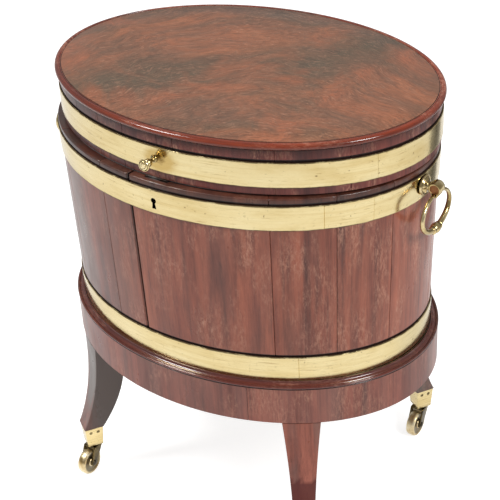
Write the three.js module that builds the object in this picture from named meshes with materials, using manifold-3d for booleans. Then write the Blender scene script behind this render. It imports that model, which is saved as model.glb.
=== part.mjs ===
// Oval brass-bound cellarette: a coopered wine cooler with a hinged lid, on a stand with castors.
// Millimetres, +Z up, front towards -Y, origin on the floor under the middle of the whole object.
import * as THREE from 'three';
import { mergeVertices } from 'three/addons/utils/BufferGeometryUtils.js';
import Module from 'manifold-3d';

const wasm = await Module();
wasm.setup();

// Clearances and construction values
const SEAT_GAP = 0.3;
const SLIDE_GAP = 0.4;
const CUT_OVERRUN = 4;
const OVAL_STEPS = 60;
const ROUND_STEPS = 20;
const SMALL_ROUND_STEPS = 12;
const SLIVER_SHARE = 0.05;

// Cooler body, sizes of the bare wood at its top edge
const BODY_HALF_WIDTH = 296.5;
const BODY_HALF_DEPTH = 221;
const BODY_HEIGHT = 308.7;
const BODY_FOOT_INSET = 9.9;
const STAVE_THICKNESS = 18;
const STAVE_GAP = 0.5;
const SHRUNK_GAP = 2.6;
const STAVE_JOINT_ANGLES = [-98.5, -57, -37.5, -17.5, 10, 37, 64, 91, 118, 145, 172, 199, 225, 250];
const BOTTOM_BOARD_THICKNESS = 18;
const LINER_THICKNESS = 2;
const LINER_RIM_DROP = 7;

// Brass bands
const BAND_THICKNESS = 1.5;
const UPPER_BAND_HEIGHT = 37;
const UPPER_BAND_DROP = 11;
const LOWER_BAND_HEIGHT = 42;
const LOWER_BAND_LIFT = 7.2;

// Lid; its side stands a little inside the body's top edge, and a little off its middle
const LID_END_INSET = 2.3;
const LID_FRONT_INSET = 7.3;
const LID_SIDE_HEIGHT = 66.2;
const LID_SIDE_THICKNESS = 18;
const LID_GAP = 2.8;
const LID_SHIFT_X = 4;
const LID_SHIFT_Y = 3;
const LID_BAND_HEIGHT = 36.5;
const LID_BAND_LIFT = 11.2;
const LID_EDGE_HEIGHT = 9;
const LID_OVERHANG = 5;
const LID_PANEL_THICKNESS = 7;
const LID_BEAD_STEPS = 4;

// Stand
const APRON_END_MARGIN = 14.4;
const APRON_FRONT_MARGIN = 12.4;
const APRON_HEIGHT = 60;
const APRON_THICKNESS = 20;
const APRON_SEAM_NAMES = ['front', 'right', 'rear', 'left'];
const APRON_SEAM_ANGLES = [-66, 24, 114, 204];
const APRON_SEAM_GAP = 0.4;
const RIM_HEIGHT = 9;
const RIM_OVERHANG = 0.8;
const RIM_BEAD = 4;
const RIM_BEAD_SHARES = [[-0.3, 0], [0, 0.3], [0, 0.75], [-0.4, 1], [-1, 1.15]];
const RIM_COVE_SHARES = [[0.6, 0.75], [0.35, 1]];
const RIM_CLEARANCE = 1;
const BEARER_WIDTH = 50;
const BEARER_THICKNESS = 20;
const BEARER_END_MARGIN = 206;

// Legs
const LEG_ANGLES = { front_left: -133, front_right: -50.3, rear_right: 49, rear_left: 131 };
const LEG_HEIGHT = 161.8;
const LEG_SPLAY = 30;
const LEG_TOP_WIDTH = 56;
const LEG_FOOT_SIZE = 32;
const LEG_TOP_DEPTH = 48;
const LEG_BLOCK_HEIGHT = 50;
const LEG_BLOCK_WIDTH = 50;
const LEG_PEG_SIZE = 17;
const LEG_PEG_LENGTH = 11;
const LEG_SECTIONS = 8;
const OUTER_CURVE_POWER = 2.5;
const INNER_CURVE_POWER = 2.6;
const WIDTH_CURVE_POWER = 1.35;

// Castors
const WHEEL_RADIUS = 22.5;
const WHEEL_WIDTH = 16;
const WHEEL_HUB_RADIUS = 8;
const WHEEL_DISH = 2;
const WHEEL_DISH_FOOT_SHARE = 1.2;
const WHEEL_DISH_EDGE_SHARE = 0.72;
const WHEEL_SHOULDER_SHARES = [0.9, 0.95];
const WHEEL_TREAD_SHARE = 0.55;
const CASTOR_TRAIL = 17;
const CAP_HEIGHT = 36.1;
const CAP_TOP_SIZE = 30;
const CAP_FOOT_SIZE = 25.5;
const CROWN_CLEARANCE = 1.5;
const CROWN_THICKNESS = 2.9;
const COLLAR_HEIGHT = 2.1;
const COLLAR_RADIUS = 9;
const COLLAR_OUTLINE_SHARES = [[1, 0], [1, 0.5], [0.7, 0.6], [0.7, 1]];
const CROWN_BACK_SHARE = 0.8;
const CROWN_FRONT_SHARE = 1.4;
const STEM_RADIUS = 4;
const STEM_LENGTH = 18;
const CHEEK_THICKNESS = 2.5;
const CHEEK_GAP = 1;
const CHEEK_END_RADIUS = 6.5;
const CHEEK_ARC_FROM = 185;
const CHEEK_ARC_SWEEP = 150;
const CHEEK_ARC_STEPS = 8;
const AXLE_RADIUS = 3;
const AXLE_HEAD_RADIUS = 4.6;
const AXLE_HEAD_HEIGHT = 1.6;
const AXLE_HEAD_FACE_SHARE = 0.7;

// Ring handles; each oval ring hangs in an eye under a drum that stands off its rosette
const HANDLE_DROP = 27.2;
const HANDLE_FRONT_SHIFT = 10;
const HANDLE_STAND_OFF = 18.3;
const ROSETTE_RADIUS = 15;
const ROSETTE_HEIGHT = 4.5;
const ROSETTE_EDGE_SHARE = 0.5;
const ROSETTE_CROWN_SHARE = 0.8;
const ROSETTE_FILLET_SHARE = 1.3;
const HANDLE_NECK_RADIUS = 6;
const DRUM_RADIUS = 9.3;
const DRUM_LENGTH = 16;
const EYE_DROP = 8;
const EYE_RADIUS = 5.4;
const EYE_PLAY = 0.9;
const HANDLE_SHANK_RADIUS = 3;
const HANDLE_SHANK_LENGTH = 14;
const RING_HALF_WIDTH = 40;
const RING_HALF_HEIGHT = 27.5;
const RING_THIN_RADIUS = 2.5;
const RING_THICK_RADIUS = 4.2;
const RING_SIDES = 8;
const RING_STEPS = 36;
const RING_BALL_RADIUS = 7.4;
const RING_BALL_SHARES = [[0.87, -0.5], [1, 0], [0.87, 0.5]];
const RING_COLLAR_RADIUS = 6;
const RING_COLLAR_WIDTH = 3;

// Lid knob
const KNOB_LIFT = 29.2;
const KNOB_LENGTH = 24;
const KNOB_HEAD_RADIUS = 8.6;
const KNOB_OUTLINE_SHARES = [
  [0.75, 0], [0.75, 0.08], [0.4, 0.17], [0.4, 0.33], [0.68, 0.42], [0.68, 0.52],
  [0.4, 0.6], [1, 0.75], [1, 0.88], [0.6, 1], [0, 1],
];
const KNOB_SHANK_RADIUS = 2.6;
const KNOB_SHANK_LENGTH = 12;

// Lock
const LOCK_WIDTH = 38;
const LOCK_HEIGHT = 46;
const LOCK_THICKNESS = 9.6;
const LOCK_WALL = 1.4;
const LOCK_TOP_DROP = 0.6;
const BOLT_WIDTH = 16;
const BOLT_THICKNESS = 3.8;
const BOLT_LENGTH = 20;
const BOLT_THROW = 9;
const STRIKE_WIDTH = 34;
const STRIKE_DEPTH = 9;
const STRIKE_THICKNESS = 1;
const KEYHOLE_RADIUS = 2.9;
const KEYHOLE_SLOT_WIDTH = 3;
const KEYHOLE_HEIGHT = 15;
const KEYHOLE_DROP = 32;

// Hinges
const HINGE_SPACING = 96;
const HINGE_WIDTH = 40;
const MIDDLE_KNUCKLE_WIDTH = 13.4;
const LEAF_THICKNESS = 0.9;
const LEAF_DEPTH = 16;
const KNUCKLE_RADIUS = 3.8;
const KNUCKLE_GAP = 0.4;
const HINGE_PIN_RADIUS = 1.8;
const HINGE_SET_BACK = 5.2;

const QUARTER_TURN_ANGLE = 90;
const HALF_TURN_ANGLE = 180;
const FULL_TURN_ANGLE = 360;

// Half sizes of the lid's side and of the apron, which follow the body's top edge and foot
const LID_HALF_WIDTH = BODY_HALF_WIDTH - LID_END_INSET;
const LID_HALF_DEPTH = BODY_HALF_DEPTH - LID_FRONT_INSET;
const APRON_HALF_WIDTH = BODY_HALF_WIDTH - BODY_FOOT_INSET + APRON_END_MARGIN;
const APRON_HALF_DEPTH = BODY_HALF_DEPTH - BODY_FOOT_INSET + APRON_FRONT_MARGIN;

// Heights worked out from the sizes above
const CAP_FOOT_Z = 2 * WHEEL_RADIUS + CROWN_CLEARANCE + CROWN_THICKNESS + COLLAR_HEIGHT + SEAT_GAP;
const LEG_FOOT_Z = CAP_FOOT_Z + CAP_HEIGHT + SEAT_GAP;
const APRON_FOOT_Z = LEG_FOOT_Z + LEG_HEIGHT;
const APRON_TOP_Z = APRON_FOOT_Z + APRON_HEIGHT;
const BODY_FOOT_Z = APRON_TOP_Z + SEAT_GAP;
const BODY_TOP_Z = BODY_FOOT_Z + BODY_HEIGHT;
const UPPER_BAND_TOP_Z = BODY_TOP_Z - UPPER_BAND_DROP;
const LOWER_BAND_FOOT_Z = BODY_FOOT_Z + LOWER_BAND_LIFT;
const LID_FOOT_Z = BODY_TOP_Z + LID_GAP;
const LID_SIDE_TOP_Z = LID_FOOT_Z + LID_SIDE_HEIGHT;
const LID_BAND_FOOT_Z = LID_FOOT_Z + LID_BAND_LIFT;
const KNOB_Z = LID_FOOT_Z + KNOB_LIFT;
const TAPER = BODY_FOOT_INSET / BODY_HEIGHT;

const FINISHES = {
  mahogany: { color: 0x5a2c20, roughness: 0.3, metalness: 0 },
  flameMahogany: { color: 0x6e4234, roughness: 0.25, metalness: 0 },
  deal: { color: 0xa07a4c, roughness: 0.8, metalness: 0 },
  brass: { color: 0xd8c184, roughness: 0.28, metalness: 1 },
  agedBrass: { color: 0xb08d45, roughness: 0.35, metalness: 1 },
  lead: { color: 0x6d7073, roughness: 0.6, metalness: 1 },
  steel: { color: 0x8c8c8c, roughness: 0.4, metalness: 1 },
};

const model = new THREE.Group();

function addPiece(name, geometry, finish, place) {
  const mesh = new THREE.Mesh(geometry, new THREE.MeshStandardMaterial(FINISHES[finish]));
  mesh.name = name;
  if (place) mesh.applyMatrix4(place);
  model.add(mesh);
}

// Geometry helpers
function radians(degrees) {
  return THREE.MathUtils.degToRad(degrees);
}

function signedVolume(points, faces) {
  let total = 0;
  for (const [i, j, k] of faces) {
    total += points[i].dot(new THREE.Vector3().crossVectors(points[j], points[k]));
  }
  return total / 6;
}

function closedGeometry(points, faces) {
  const outward = signedVolume(points, faces) > 0;
  const geometry = new THREE.BufferGeometry().setFromPoints(points);
  geometry.setIndex(faces.flatMap(([i, j, k]) => (outward ? [i, j, k] : [i, k, j])));
  return geometry;
}

function toSolid(geometry) {
  const bare = geometry.clone();
  bare.deleteAttribute('normal');
  bare.deleteAttribute('uv');
  const merged = mergeVertices(bare);
  return new wasm.Manifold(new wasm.Mesh({
    numProp: 3,
    vertProperties: new Float32Array(merged.attributes.position.array),
    triVerts: new Uint32Array(merged.index.array),
  }));
}

function fromSolid(solid) {
  const mesh = solid.getMesh();
  const geometry = new THREE.BufferGeometry();
  const places = new Float32Array(mesh.vertProperties);
  geometry.setAttribute('position', new THREE.BufferAttribute(places, 3));
  geometry.setIndex(Array.from(mesh.triVerts));
  return geometry;
}

function cut(geometry, ...tools) {
  let solid = toSolid(geometry);
  for (const tool of tools) solid = solid.subtract(toSolid(tool));
  return fromSolid(solid);
}

function join(...geometries) {
  let solid = toSolid(geometries[0]);
  for (const geometry of geometries.slice(1)) solid = solid.add(toSolid(geometry));
  return fromSolid(solid);
}

// A loft through rings of points, each ring with the same number of points
function loft(rings) {
  const count = rings[0].length;
  const points = rings.flat();
  const faces = [];
  for (let ring = 0; ring + 1 < rings.length; ring += 1) {
    for (let i = 0; i < count; i += 1) {
      const next = (i + 1) % count;
      const low = ring * count;
      const high = low + count;
      faces.push([low + i, low + next, high + next], [low + i, high + next, high + i]);
    }
  }
  const last = points.length - count;
  for (let i = 1; i + 1 < count; i += 1) {
    faces.push([0, i + 1, i], [last, last + i, last + i + 1]);
  }
  return closedGeometry(points, faces);
}

function rectangleRing(x0, x1, y0, y1, z) {
  return [[x0, y0], [x1, y0], [x1, y1], [x0, y1]].map(([x, y]) => new THREE.Vector3(x, y, z));
}

// A box given by its two corners
function boxBetween(low, high) {
  return loft([
    rectangleRing(low[0], high[0], low[1], high[1], low[2]),
    rectangleRing(low[0], high[0], low[1], high[1], high[2]),
  ]);
}

// A turned shape about +Z from [radius, height] points that start and end on the axis or close
function turnedSolid(profile, steps = ROUND_STEPS) {
  const outline = profile.map(([radius, height]) => new THREE.Vector2(radius, height));
  const bare = new THREE.LatheGeometry(outline, steps).rotateX(Math.PI / 2);
  bare.deleteAttribute('normal');
  bare.deleteAttribute('uv');
  const merged = mergeVertices(bare);
  const position = merged.attributes.position;
  const points = [];
  for (let i = 0; i < position.count; i += 1) {
    points.push(new THREE.Vector3().fromBufferAttribute(position, i));
  }
  const index = merged.index.array;
  const faces = [];
  for (let i = 0; i < index.length; i += 3) {
    const face = [index[i], index[i + 1], index[i + 2]];
    if (new Set(face).size === 3) faces.push(face);
  }
  return closedGeometry(points, faces);
}

function rod(radius, z0, z1, steps = SMALL_ROUND_STEPS) {
  return turnedSolid([[0, z0], [radius, z0], [radius, z1], [0, z1]], steps);
}

// Outline points from shares of a radius and of a height above a foot
function outlineOf(shares, radius, height, foot = 0) {
  return shares.map(([radiusShare, heightShare]) => [radius * radiusShare, foot + height * heightShare]);
}

// Turns +Z to point along +X, or along -Y
function alongX(geometry) {
  return geometry.rotateY(Math.PI / 2);
}

function alongFront(geometry) {
  return geometry.rotateX(Math.PI / 2);
}

// Ovals: an oval has half sizes and a middle; every ring is measured as an offset from it
const BODY_OVAL = { a: BODY_HALF_WIDTH, b: BODY_HALF_DEPTH, x: 0, y: 0 };
const LID_OVAL = { a: LID_HALF_WIDTH, b: LID_HALF_DEPTH, x: LID_SHIFT_X, y: LID_SHIFT_Y };
const APRON_OVAL = { a: APRON_HALF_WIDTH, b: APRON_HALF_DEPTH, x: 0, y: 0 };

function gridPoint(oval, offset, step, z) {
  const angle = (2 * Math.PI * step) / OVAL_STEPS;
  const x = oval.x + (oval.a + offset) * Math.cos(angle);
  const y = oval.y + (oval.b + offset) * Math.sin(angle);
  return new THREE.Vector3(x, y, z);
}

// The point on the oval's facets at any angle, so that neighbouring rings share their facets
function facetPoint(oval, offset, degrees, z) {
  const place = (degrees / FULL_TURN_ANGLE) * OVAL_STEPS;
  const step = Math.floor(place);
  const low = gridPoint(oval, offset, step, z);
  return low.lerp(gridPoint(oval, offset, step + 1, z), place - step);
}

function ovalOutline(oval, offset, z) {
  return Array.from({ length: OVAL_STEPS }, (_, step) => gridPoint(oval, offset, step, z));
}

// A closed ring swept round the whole oval from a closed list of [offset, z] points
function ovalRing(oval, profile) {
  const count = profile.length;
  const points = [];
  const faces = [];
  for (let step = 0; step < OVAL_STEPS; step += 1) {
    for (const [offset, z] of profile) points.push(gridPoint(oval, offset, step, z));
    const here = step * count;
    const there = ((step + 1) % OVAL_STEPS) * count;
    for (let i = 0; i < count; i += 1) {
      const next = (i + 1) % count;
      faces.push([here + i, there + i, there + next], [here + i, there + next, here + next]);
    }
  }
  return closedGeometry(points, faces);
}

// A board or dish: a stack of oval outlines closed at both ends by a middle point
function ovalBoard(oval, profile) {
  const rings = profile.map(([offset, z]) => ovalOutline(oval, offset, z));
  const points = rings.flat();
  const faces = [];
  for (let ring = 0; ring + 1 < rings.length; ring += 1) {
    for (let step = 0; step < OVAL_STEPS; step += 1) {
      const next = (step + 1) % OVAL_STEPS;
      const low = ring * OVAL_STEPS;
      const high = low + OVAL_STEPS;
      faces.push([low + step, low + next, high + next], [low + step, high + next, high + step]);
    }
  }
  const last = points.length - OVAL_STEPS;
  points.push(new THREE.Vector3(oval.x, oval.y, profile[0][1]));
  points.push(new THREE.Vector3(oval.x, oval.y, profile[profile.length - 1][1]));
  for (let step = 0; step < OVAL_STEPS; step += 1) {
    const next = (step + 1) % OVAL_STEPS;
    faces.push([points.length - 2, next, step], [points.length - 1, last + step, last + next]);
  }
  return closedGeometry(points, faces);
}

// A stretch of ring between two angles, with a gap left at each end
function ovalStretch(oval, profile, fromDegrees, toDegrees, fromGap, toGap) {
  const from = fromDegrees + gapAngle(oval, fromDegrees, fromGap);
  const to = toDegrees - gapAngle(oval, toDegrees, toGap);
  const stepAngle = FULL_TURN_ANGLE / OVAL_STEPS;
  const angles = [from];
  for (let step = Math.floor(from / stepAngle) + 1; step * stepAngle < to; step += 1) {
    angles.push(step * stepAngle);
  }
  angles.push(to);
  const sliver = stepAngle * SLIVER_SHARE;
  const clear = angles.filter((angle) => angle === from || angle === to
    || (angle - from > sliver && to - angle > sliver));
  return loft(clear.map((angle) => profile.map(([offset, z]) => facetPoint(oval, offset, angle, z))));
}

function gapAngle(oval, degrees, gap) {
  const angle = radians(degrees);
  const speed = Math.hypot(oval.a * Math.sin(angle), oval.b * Math.cos(angle));
  return THREE.MathUtils.radToDeg(gap / 2 / speed);
}

function taperOffset(z) {
  return -TAPER * (BODY_TOP_Z - z);
}

// Body wall profile between two heights and two depths from the bare wood surface
function wallProfile(outer, inner, z0, z1) {
  return [
    [taperOffset(z0) + outer, z0],
    [taperOffset(z1) + outer, z1],
    [taperOffset(z1) + inner, z1],
    [taperOffset(z0) + inner, z0],
  ];
}

// Front and end faces of the body at a height
function bodyFrontY(z) {
  return -(BODY_HALF_DEPTH + taperOffset(z));
}

function bodyEndX(z) {
  return BODY_HALF_WIDTH + taperOffset(z);
}

// Places taken from the body for the lock, the handles and the hinges
const HANDLE_Z = BODY_TOP_Z - HANDLE_DROP;
const BAND_PROUD = SEAT_GAP + BAND_THICKNESS;
const HANDLE_SEAT_X = bodyEndX(HANDLE_Z + ROSETTE_RADIUS) + BAND_PROUD + SEAT_GAP;
const LOCK_BACK_Y = bodyFrontY(BODY_TOP_Z) + STAVE_THICKNESS - SLIDE_GAP;
const LOCK_FRONT_Y = LOCK_BACK_Y - LOCK_THICKNESS;
const LOCK_TOP_Z = BODY_TOP_Z - LOCK_TOP_DROP;
const BOLT_BACK_Y = LOCK_BACK_Y - LOCK_WALL - SLIDE_GAP;
const BOLT_FRONT_Y = BOLT_BACK_Y - BOLT_THICKNESS;
const KEYHOLE_Z = BODY_TOP_Z - KEYHOLE_DROP;
const HINGE_AXIS_Y = BODY_HALF_DEPTH + HINGE_SET_BACK;
const HINGE_AXIS_Z = BODY_TOP_Z + LID_GAP / 2;

const HANDLE_PLACES = {
  right: new THREE.Matrix4().makeTranslation(HANDLE_SEAT_X, -HANDLE_FRONT_SHIFT, HANDLE_Z),
  left: new THREE.Matrix4().makeRotationZ(Math.PI).setPosition(-HANDLE_SEAT_X, -HANDLE_FRONT_SHIFT, HANDLE_Z),
};

function keyholeCutter() {
  const eye = alongFront(rod(KEYHOLE_RADIUS, 0, STAVE_THICKNESS));
  const eyeZ = KEYHOLE_Z + KEYHOLE_HEIGHT / 2 - KEYHOLE_RADIUS;
  const frontY = bodyFrontY(BODY_TOP_Z) - BAND_PROUD - CUT_OVERRUN;
  eye.translate(0, frontY + STAVE_THICKNESS, eyeZ);
  const half = KEYHOLE_SLOT_WIDTH / 2;
  const slot = boxBetween(
    [-half, frontY, KEYHOLE_Z - KEYHOLE_HEIGHT / 2],
    [half, frontY + STAVE_THICKNESS, eyeZ],
  );
  return join(eye, slot);
}

function lockPocket() {
  const half = LOCK_WIDTH / 2 + SEAT_GAP;
  return boxBetween(
    [-half, LOCK_FRONT_Y - SEAT_GAP, LOCK_TOP_Z - LOCK_HEIGHT - SEAT_GAP],
    [half, LOCK_BACK_Y + STAVE_THICKNESS, BODY_TOP_Z + CUT_OVERRUN],
  );
}

function handleBore(place) {
  const bore = alongX(rod(HANDLE_SHANK_RADIUS + SEAT_GAP, -HANDLE_SHANK_LENGTH - SEAT_GAP, CUT_OVERRUN));
  return bore.applyMatrix4(place);
}

// Staves, numbered from the wide front one towards the right
function makeStaves() {
  const count = STAVE_JOINT_ANGLES.length;
  const profile = wallProfile(0, -STAVE_THICKNESS, BODY_FOOT_Z, BODY_TOP_Z);
  for (let i = 0; i < count; i += 1) {
    const from = STAVE_JOINT_ANGLES[i];
    const to = i + 1 < count ? STAVE_JOINT_ANGLES[i + 1] : STAVE_JOINT_ANGLES[0] + FULL_TURN_ANGLE;
    const fromGap = i === 0 ? SHRUNK_GAP : STAVE_GAP;
    const toGap = i + 1 < count ? STAVE_GAP : SHRUNK_GAP;
    let stave = ovalStretch(BODY_OVAL, profile, from, to, fromGap, toGap);
    const holds = (degrees) => from < degrees && to > degrees;
    if (holds(-QUARTER_TURN_ANGLE)) stave = cut(stave, lockPocket(), keyholeCutter());
    if (holds(0)) stave = cut(stave, handleBore(HANDLE_PLACES.right));
    if (holds(HALF_TURN_ANGLE)) stave = cut(stave, handleBore(HANDLE_PLACES.left));
    addPiece(`stave_${String(i + 1).padStart(2, '0')}`, stave, 'mahogany');
  }
}

function bodyBand(footZ, height) {
  return ovalRing(BODY_OVAL, wallProfile(BAND_PROUD, SEAT_GAP, footZ, footZ + height));
}

function makeBody() {
  const inside = -STAVE_THICKNESS - SEAT_GAP;
  const boardTopZ = BODY_FOOT_Z + BOTTOM_BOARD_THICKNESS;
  addPiece('bottom_board', ovalBoard(BODY_OVAL, [
    [taperOffset(BODY_FOOT_Z) + inside, BODY_FOOT_Z],
    [taperOffset(BODY_FOOT_Z) + inside, boardTopZ],
  ]), 'deal');
  const linerFootZ = boardTopZ + SEAT_GAP;
  const linerTopZ = BODY_TOP_Z - LINER_RIM_DROP;
  addPiece('lead_liner', ovalBoard(BODY_OVAL, [
    [taperOffset(linerFootZ) + inside, linerFootZ],
    [taperOffset(linerTopZ) + inside, linerTopZ],
    [taperOffset(linerTopZ) + inside - LINER_THICKNESS, linerTopZ],
    [taperOffset(linerFootZ) + inside - LINER_THICKNESS, linerFootZ + LINER_THICKNESS],
  ]), 'lead');
  const upperBand = bodyBand(UPPER_BAND_TOP_Z - UPPER_BAND_HEIGHT, UPPER_BAND_HEIGHT);
  const bores = Object.values(HANDLE_PLACES).map(handleBore);
  addPiece('upper_band', cut(upperBand, keyholeCutter(), ...bores), 'brass');
  addPiece('lower_band', bodyBand(LOWER_BAND_FOOT_Z, LOWER_BAND_HEIGHT), 'brass');
}

function makeLock() {
  const half = LOCK_WIDTH / 2;
  const boltHalf = BOLT_WIDTH / 2;
  const footZ = LOCK_TOP_Z - LOCK_HEIGHT;
  const shell = boxBetween([-half, LOCK_FRONT_Y, footZ], [half, LOCK_BACK_Y, LOCK_TOP_Z]);
  const room = boxBetween(
    [-boltHalf - SLIDE_GAP, BOLT_FRONT_Y - SLIDE_GAP, footZ + LOCK_WALL],
    [boltHalf + SLIDE_GAP, BOLT_BACK_Y + SLIDE_GAP, LOCK_TOP_Z + CUT_OVERRUN],
  );
  const keyway = keyholeCutter().translate(0, LOCK_THICKNESS / 2, 0);
  addPiece('lock_case', cut(shell, room, keyway), 'steel');
  const boltTopZ = LOCK_TOP_Z - SLIDE_GAP;
  addPiece('lock_bolt', boxBetween(
    [-boltHalf, BOLT_FRONT_Y, boltTopZ - BOLT_LENGTH],
    [boltHalf, BOLT_BACK_Y, boltTopZ],
  ), 'steel');
}

function strikeSlot(clearance, z0, z1) {
  const half = BOLT_WIDTH / 2 + clearance;
  return boxBetween([-half, BOLT_FRONT_Y - clearance, z0], [half, BOLT_BACK_Y + clearance, z1]);
}

// Lid
function makeLid() {
  const boreRadius = KNOB_SHANK_RADIUS + SEAT_GAP;
  const knobBore = alongFront(rod(boreRadius, -KNOB_SHANK_LENGTH - SEAT_GAP, CUT_OVERRUN));
  knobBore.translate(0, knobSeatY(), KNOB_Z);
  const side = ovalRing(LID_OVAL, [
    [0, LID_FOOT_Z], [0, LID_SIDE_TOP_Z],
    [-LID_SIDE_THICKNESS, LID_SIDE_TOP_Z], [-LID_SIDE_THICKNESS, LID_FOOT_Z],
  ]);
  const mortise = strikeSlot(2 * SLIDE_GAP, LID_FOOT_Z - CUT_OVERRUN, LID_FOOT_Z + BOLT_THROW);
  addPiece('lid_side', cut(side, mortise, knobBore), 'mahogany');
  const bandTopZ = LID_BAND_FOOT_Z + LID_BAND_HEIGHT;
  const band = ovalRing(LID_OVAL, [
    [BAND_PROUD, LID_BAND_FOOT_Z], [BAND_PROUD, bandTopZ],
    [SEAT_GAP, bandTopZ], [SEAT_GAP, LID_BAND_FOOT_Z],
  ]);
  addPiece('lid_band', cut(band, knobBore), 'brass');
  addPiece('lid_top', lidTop(), 'flameMahogany');
  const strikeTopZ = LID_FOOT_Z - SEAT_GAP;
  const strikeFootZ = strikeTopZ - STRIKE_THICKNESS;
  const strikeHalf = STRIKE_WIDTH / 2;
  const strikeMiddleY = (BOLT_FRONT_Y + BOLT_BACK_Y) / 2;
  const strike = boxBetween(
    [-strikeHalf, strikeMiddleY - STRIKE_DEPTH / 2, strikeFootZ],
    [strikeHalf, strikeMiddleY + STRIKE_DEPTH / 2, strikeTopZ],
  );
  const slot = strikeSlot(SLIDE_GAP, strikeFootZ - CUT_OVERRUN, strikeTopZ + CUT_OVERRUN);
  addPiece('lock_strike', cut(strike, slot), 'steel');
  addPiece('lid_knob', knob().translate(0, knobSeatY(), KNOB_Z), 'agedBrass');
}

// The top board: a half-round bead at its edge and a panel that drops inside the lid's side
function lidTop() {
  const footZ = LID_SIDE_TOP_Z + SEAT_GAP;
  const radius = LID_EDGE_HEIGHT / 2;
  const panelOffset = -LID_SIDE_THICKNESS - SLIDE_GAP;
  const profile = [[panelOffset, footZ - LID_PANEL_THICKNESS], [panelOffset, footZ]];
  for (let i = 0; i <= LID_BEAD_STEPS; i += 1) {
    const angle = (Math.PI * i) / LID_BEAD_STEPS - Math.PI / 2;
    const offset = LID_OVERHANG - radius + radius * Math.cos(angle);
    profile.push([offset, footZ + radius + radius * Math.sin(angle)]);
  }
  return ovalBoard(LID_OVAL, profile);
}

function knobSeatY() {
  return LID_SHIFT_Y - LID_HALF_DEPTH - BAND_PROUD - SEAT_GAP;
}

function knob() {
  return alongFront(turnedSolid([
    [0, -KNOB_SHANK_LENGTH], [KNOB_SHANK_RADIUS, -KNOB_SHANK_LENGTH], [KNOB_SHANK_RADIUS, 0],
    ...outlineOf(KNOB_OUTLINE_SHARES, KNOB_HEAD_RADIUS, KNOB_LENGTH),
  ]));
}

// Ring handles, made about the middle of their seat with +X away from the body
function handleMount() {
  const rosette = turnedSolid([
    [0, -HANDLE_SHANK_LENGTH], [HANDLE_SHANK_RADIUS, -HANDLE_SHANK_LENGTH], [HANDLE_SHANK_RADIUS, 0],
    [ROSETTE_RADIUS, 0], [ROSETTE_RADIUS, ROSETTE_HEIGHT * ROSETTE_EDGE_SHARE],
    [ROSETTE_RADIUS * ROSETTE_CROWN_SHARE, ROSETTE_HEIGHT],
    [HANDLE_NECK_RADIUS, ROSETTE_HEIGHT * ROSETTE_FILLET_SHARE],
    [HANDLE_NECK_RADIUS, HANDLE_STAND_OFF], [0, HANDLE_STAND_OFF],
  ]);
  const half = DRUM_LENGTH / 2;
  const drum = alongFront(rod(DRUM_RADIUS, -half, half, ROUND_STEPS)).translate(HANDLE_STAND_OFF, 0, 0);
  const eye = alongFront(rod(EYE_RADIUS, -half, half, ROUND_STEPS)).translate(HANDLE_STAND_OFF, 0, -EYE_DROP);
  const bore = alongFront(rod(RING_THIN_RADIUS + EYE_PLAY, -half - CUT_OVERRUN, half + CUT_OVERRUN));
  return cut(join(alongX(rosette), drum, eye), bore.translate(HANDLE_STAND_OFF, 0, -EYE_DROP));
}

// The oval ring's bar, thin where it passes the eye at the top and thick at its bottom
function ringBar() {
  const points = [];
  const faces = [];
  for (let step = 0; step < RING_STEPS; step += 1) {
    const angle = (2 * Math.PI * step) / RING_STEPS;
    const depthShare = (1 - Math.sin(angle)) / 2;
    const radius = RING_THIN_RADIUS + (RING_THICK_RADIUS - RING_THIN_RADIUS) * depthShare;
    const outward = new THREE.Vector2(RING_HALF_HEIGHT * Math.cos(angle), RING_HALF_WIDTH * Math.sin(angle));
    outward.normalize();
    for (let k = 0; k < RING_SIDES; k += 1) {
      const turn = (2 * Math.PI * k) / RING_SIDES;
      const across = radius * Math.cos(turn);
      const y = RING_HALF_WIDTH * Math.cos(angle) + across * outward.x;
      const z = RING_HALF_HEIGHT * (Math.sin(angle) - 1) + across * outward.y;
      points.push(new THREE.Vector3(radius * Math.sin(turn), y, z));
      const here = step * RING_SIDES;
      const there = ((step + 1) % RING_STEPS) * RING_SIDES;
      const next = (k + 1) % RING_SIDES;
      faces.push([here + k, there + k, there + next], [here + k, there + next, here + next]);
    }
  }
  return closedGeometry(points, faces);
}

function handleRing() {
  const half = RING_BALL_RADIUS + RING_COLLAR_WIDTH;
  const ball = alongFront(turnedSolid([
    [0, -half], [RING_COLLAR_RADIUS, -half], [RING_COLLAR_RADIUS, -RING_BALL_RADIUS],
    ...outlineOf(RING_BALL_SHARES, RING_BALL_RADIUS, RING_BALL_RADIUS),
    [RING_COLLAR_RADIUS, RING_BALL_RADIUS], [RING_COLLAR_RADIUS, half], [0, half],
  ], SMALL_ROUND_STEPS)).translate(0, 0, -2 * RING_HALF_HEIGHT);
  return join(ringBar(), ball).translate(HANDLE_STAND_OFF, 0, -EYE_DROP);
}

function makeHandles() {
  for (const [side, place] of Object.entries(HANDLE_PLACES)) {
    addPiece(`handle_mount_${side}`, handleMount(), 'agedBrass', place);
    addPiece(`handle_ring_${side}`, handleRing(), 'agedBrass', place);
  }
}

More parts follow.
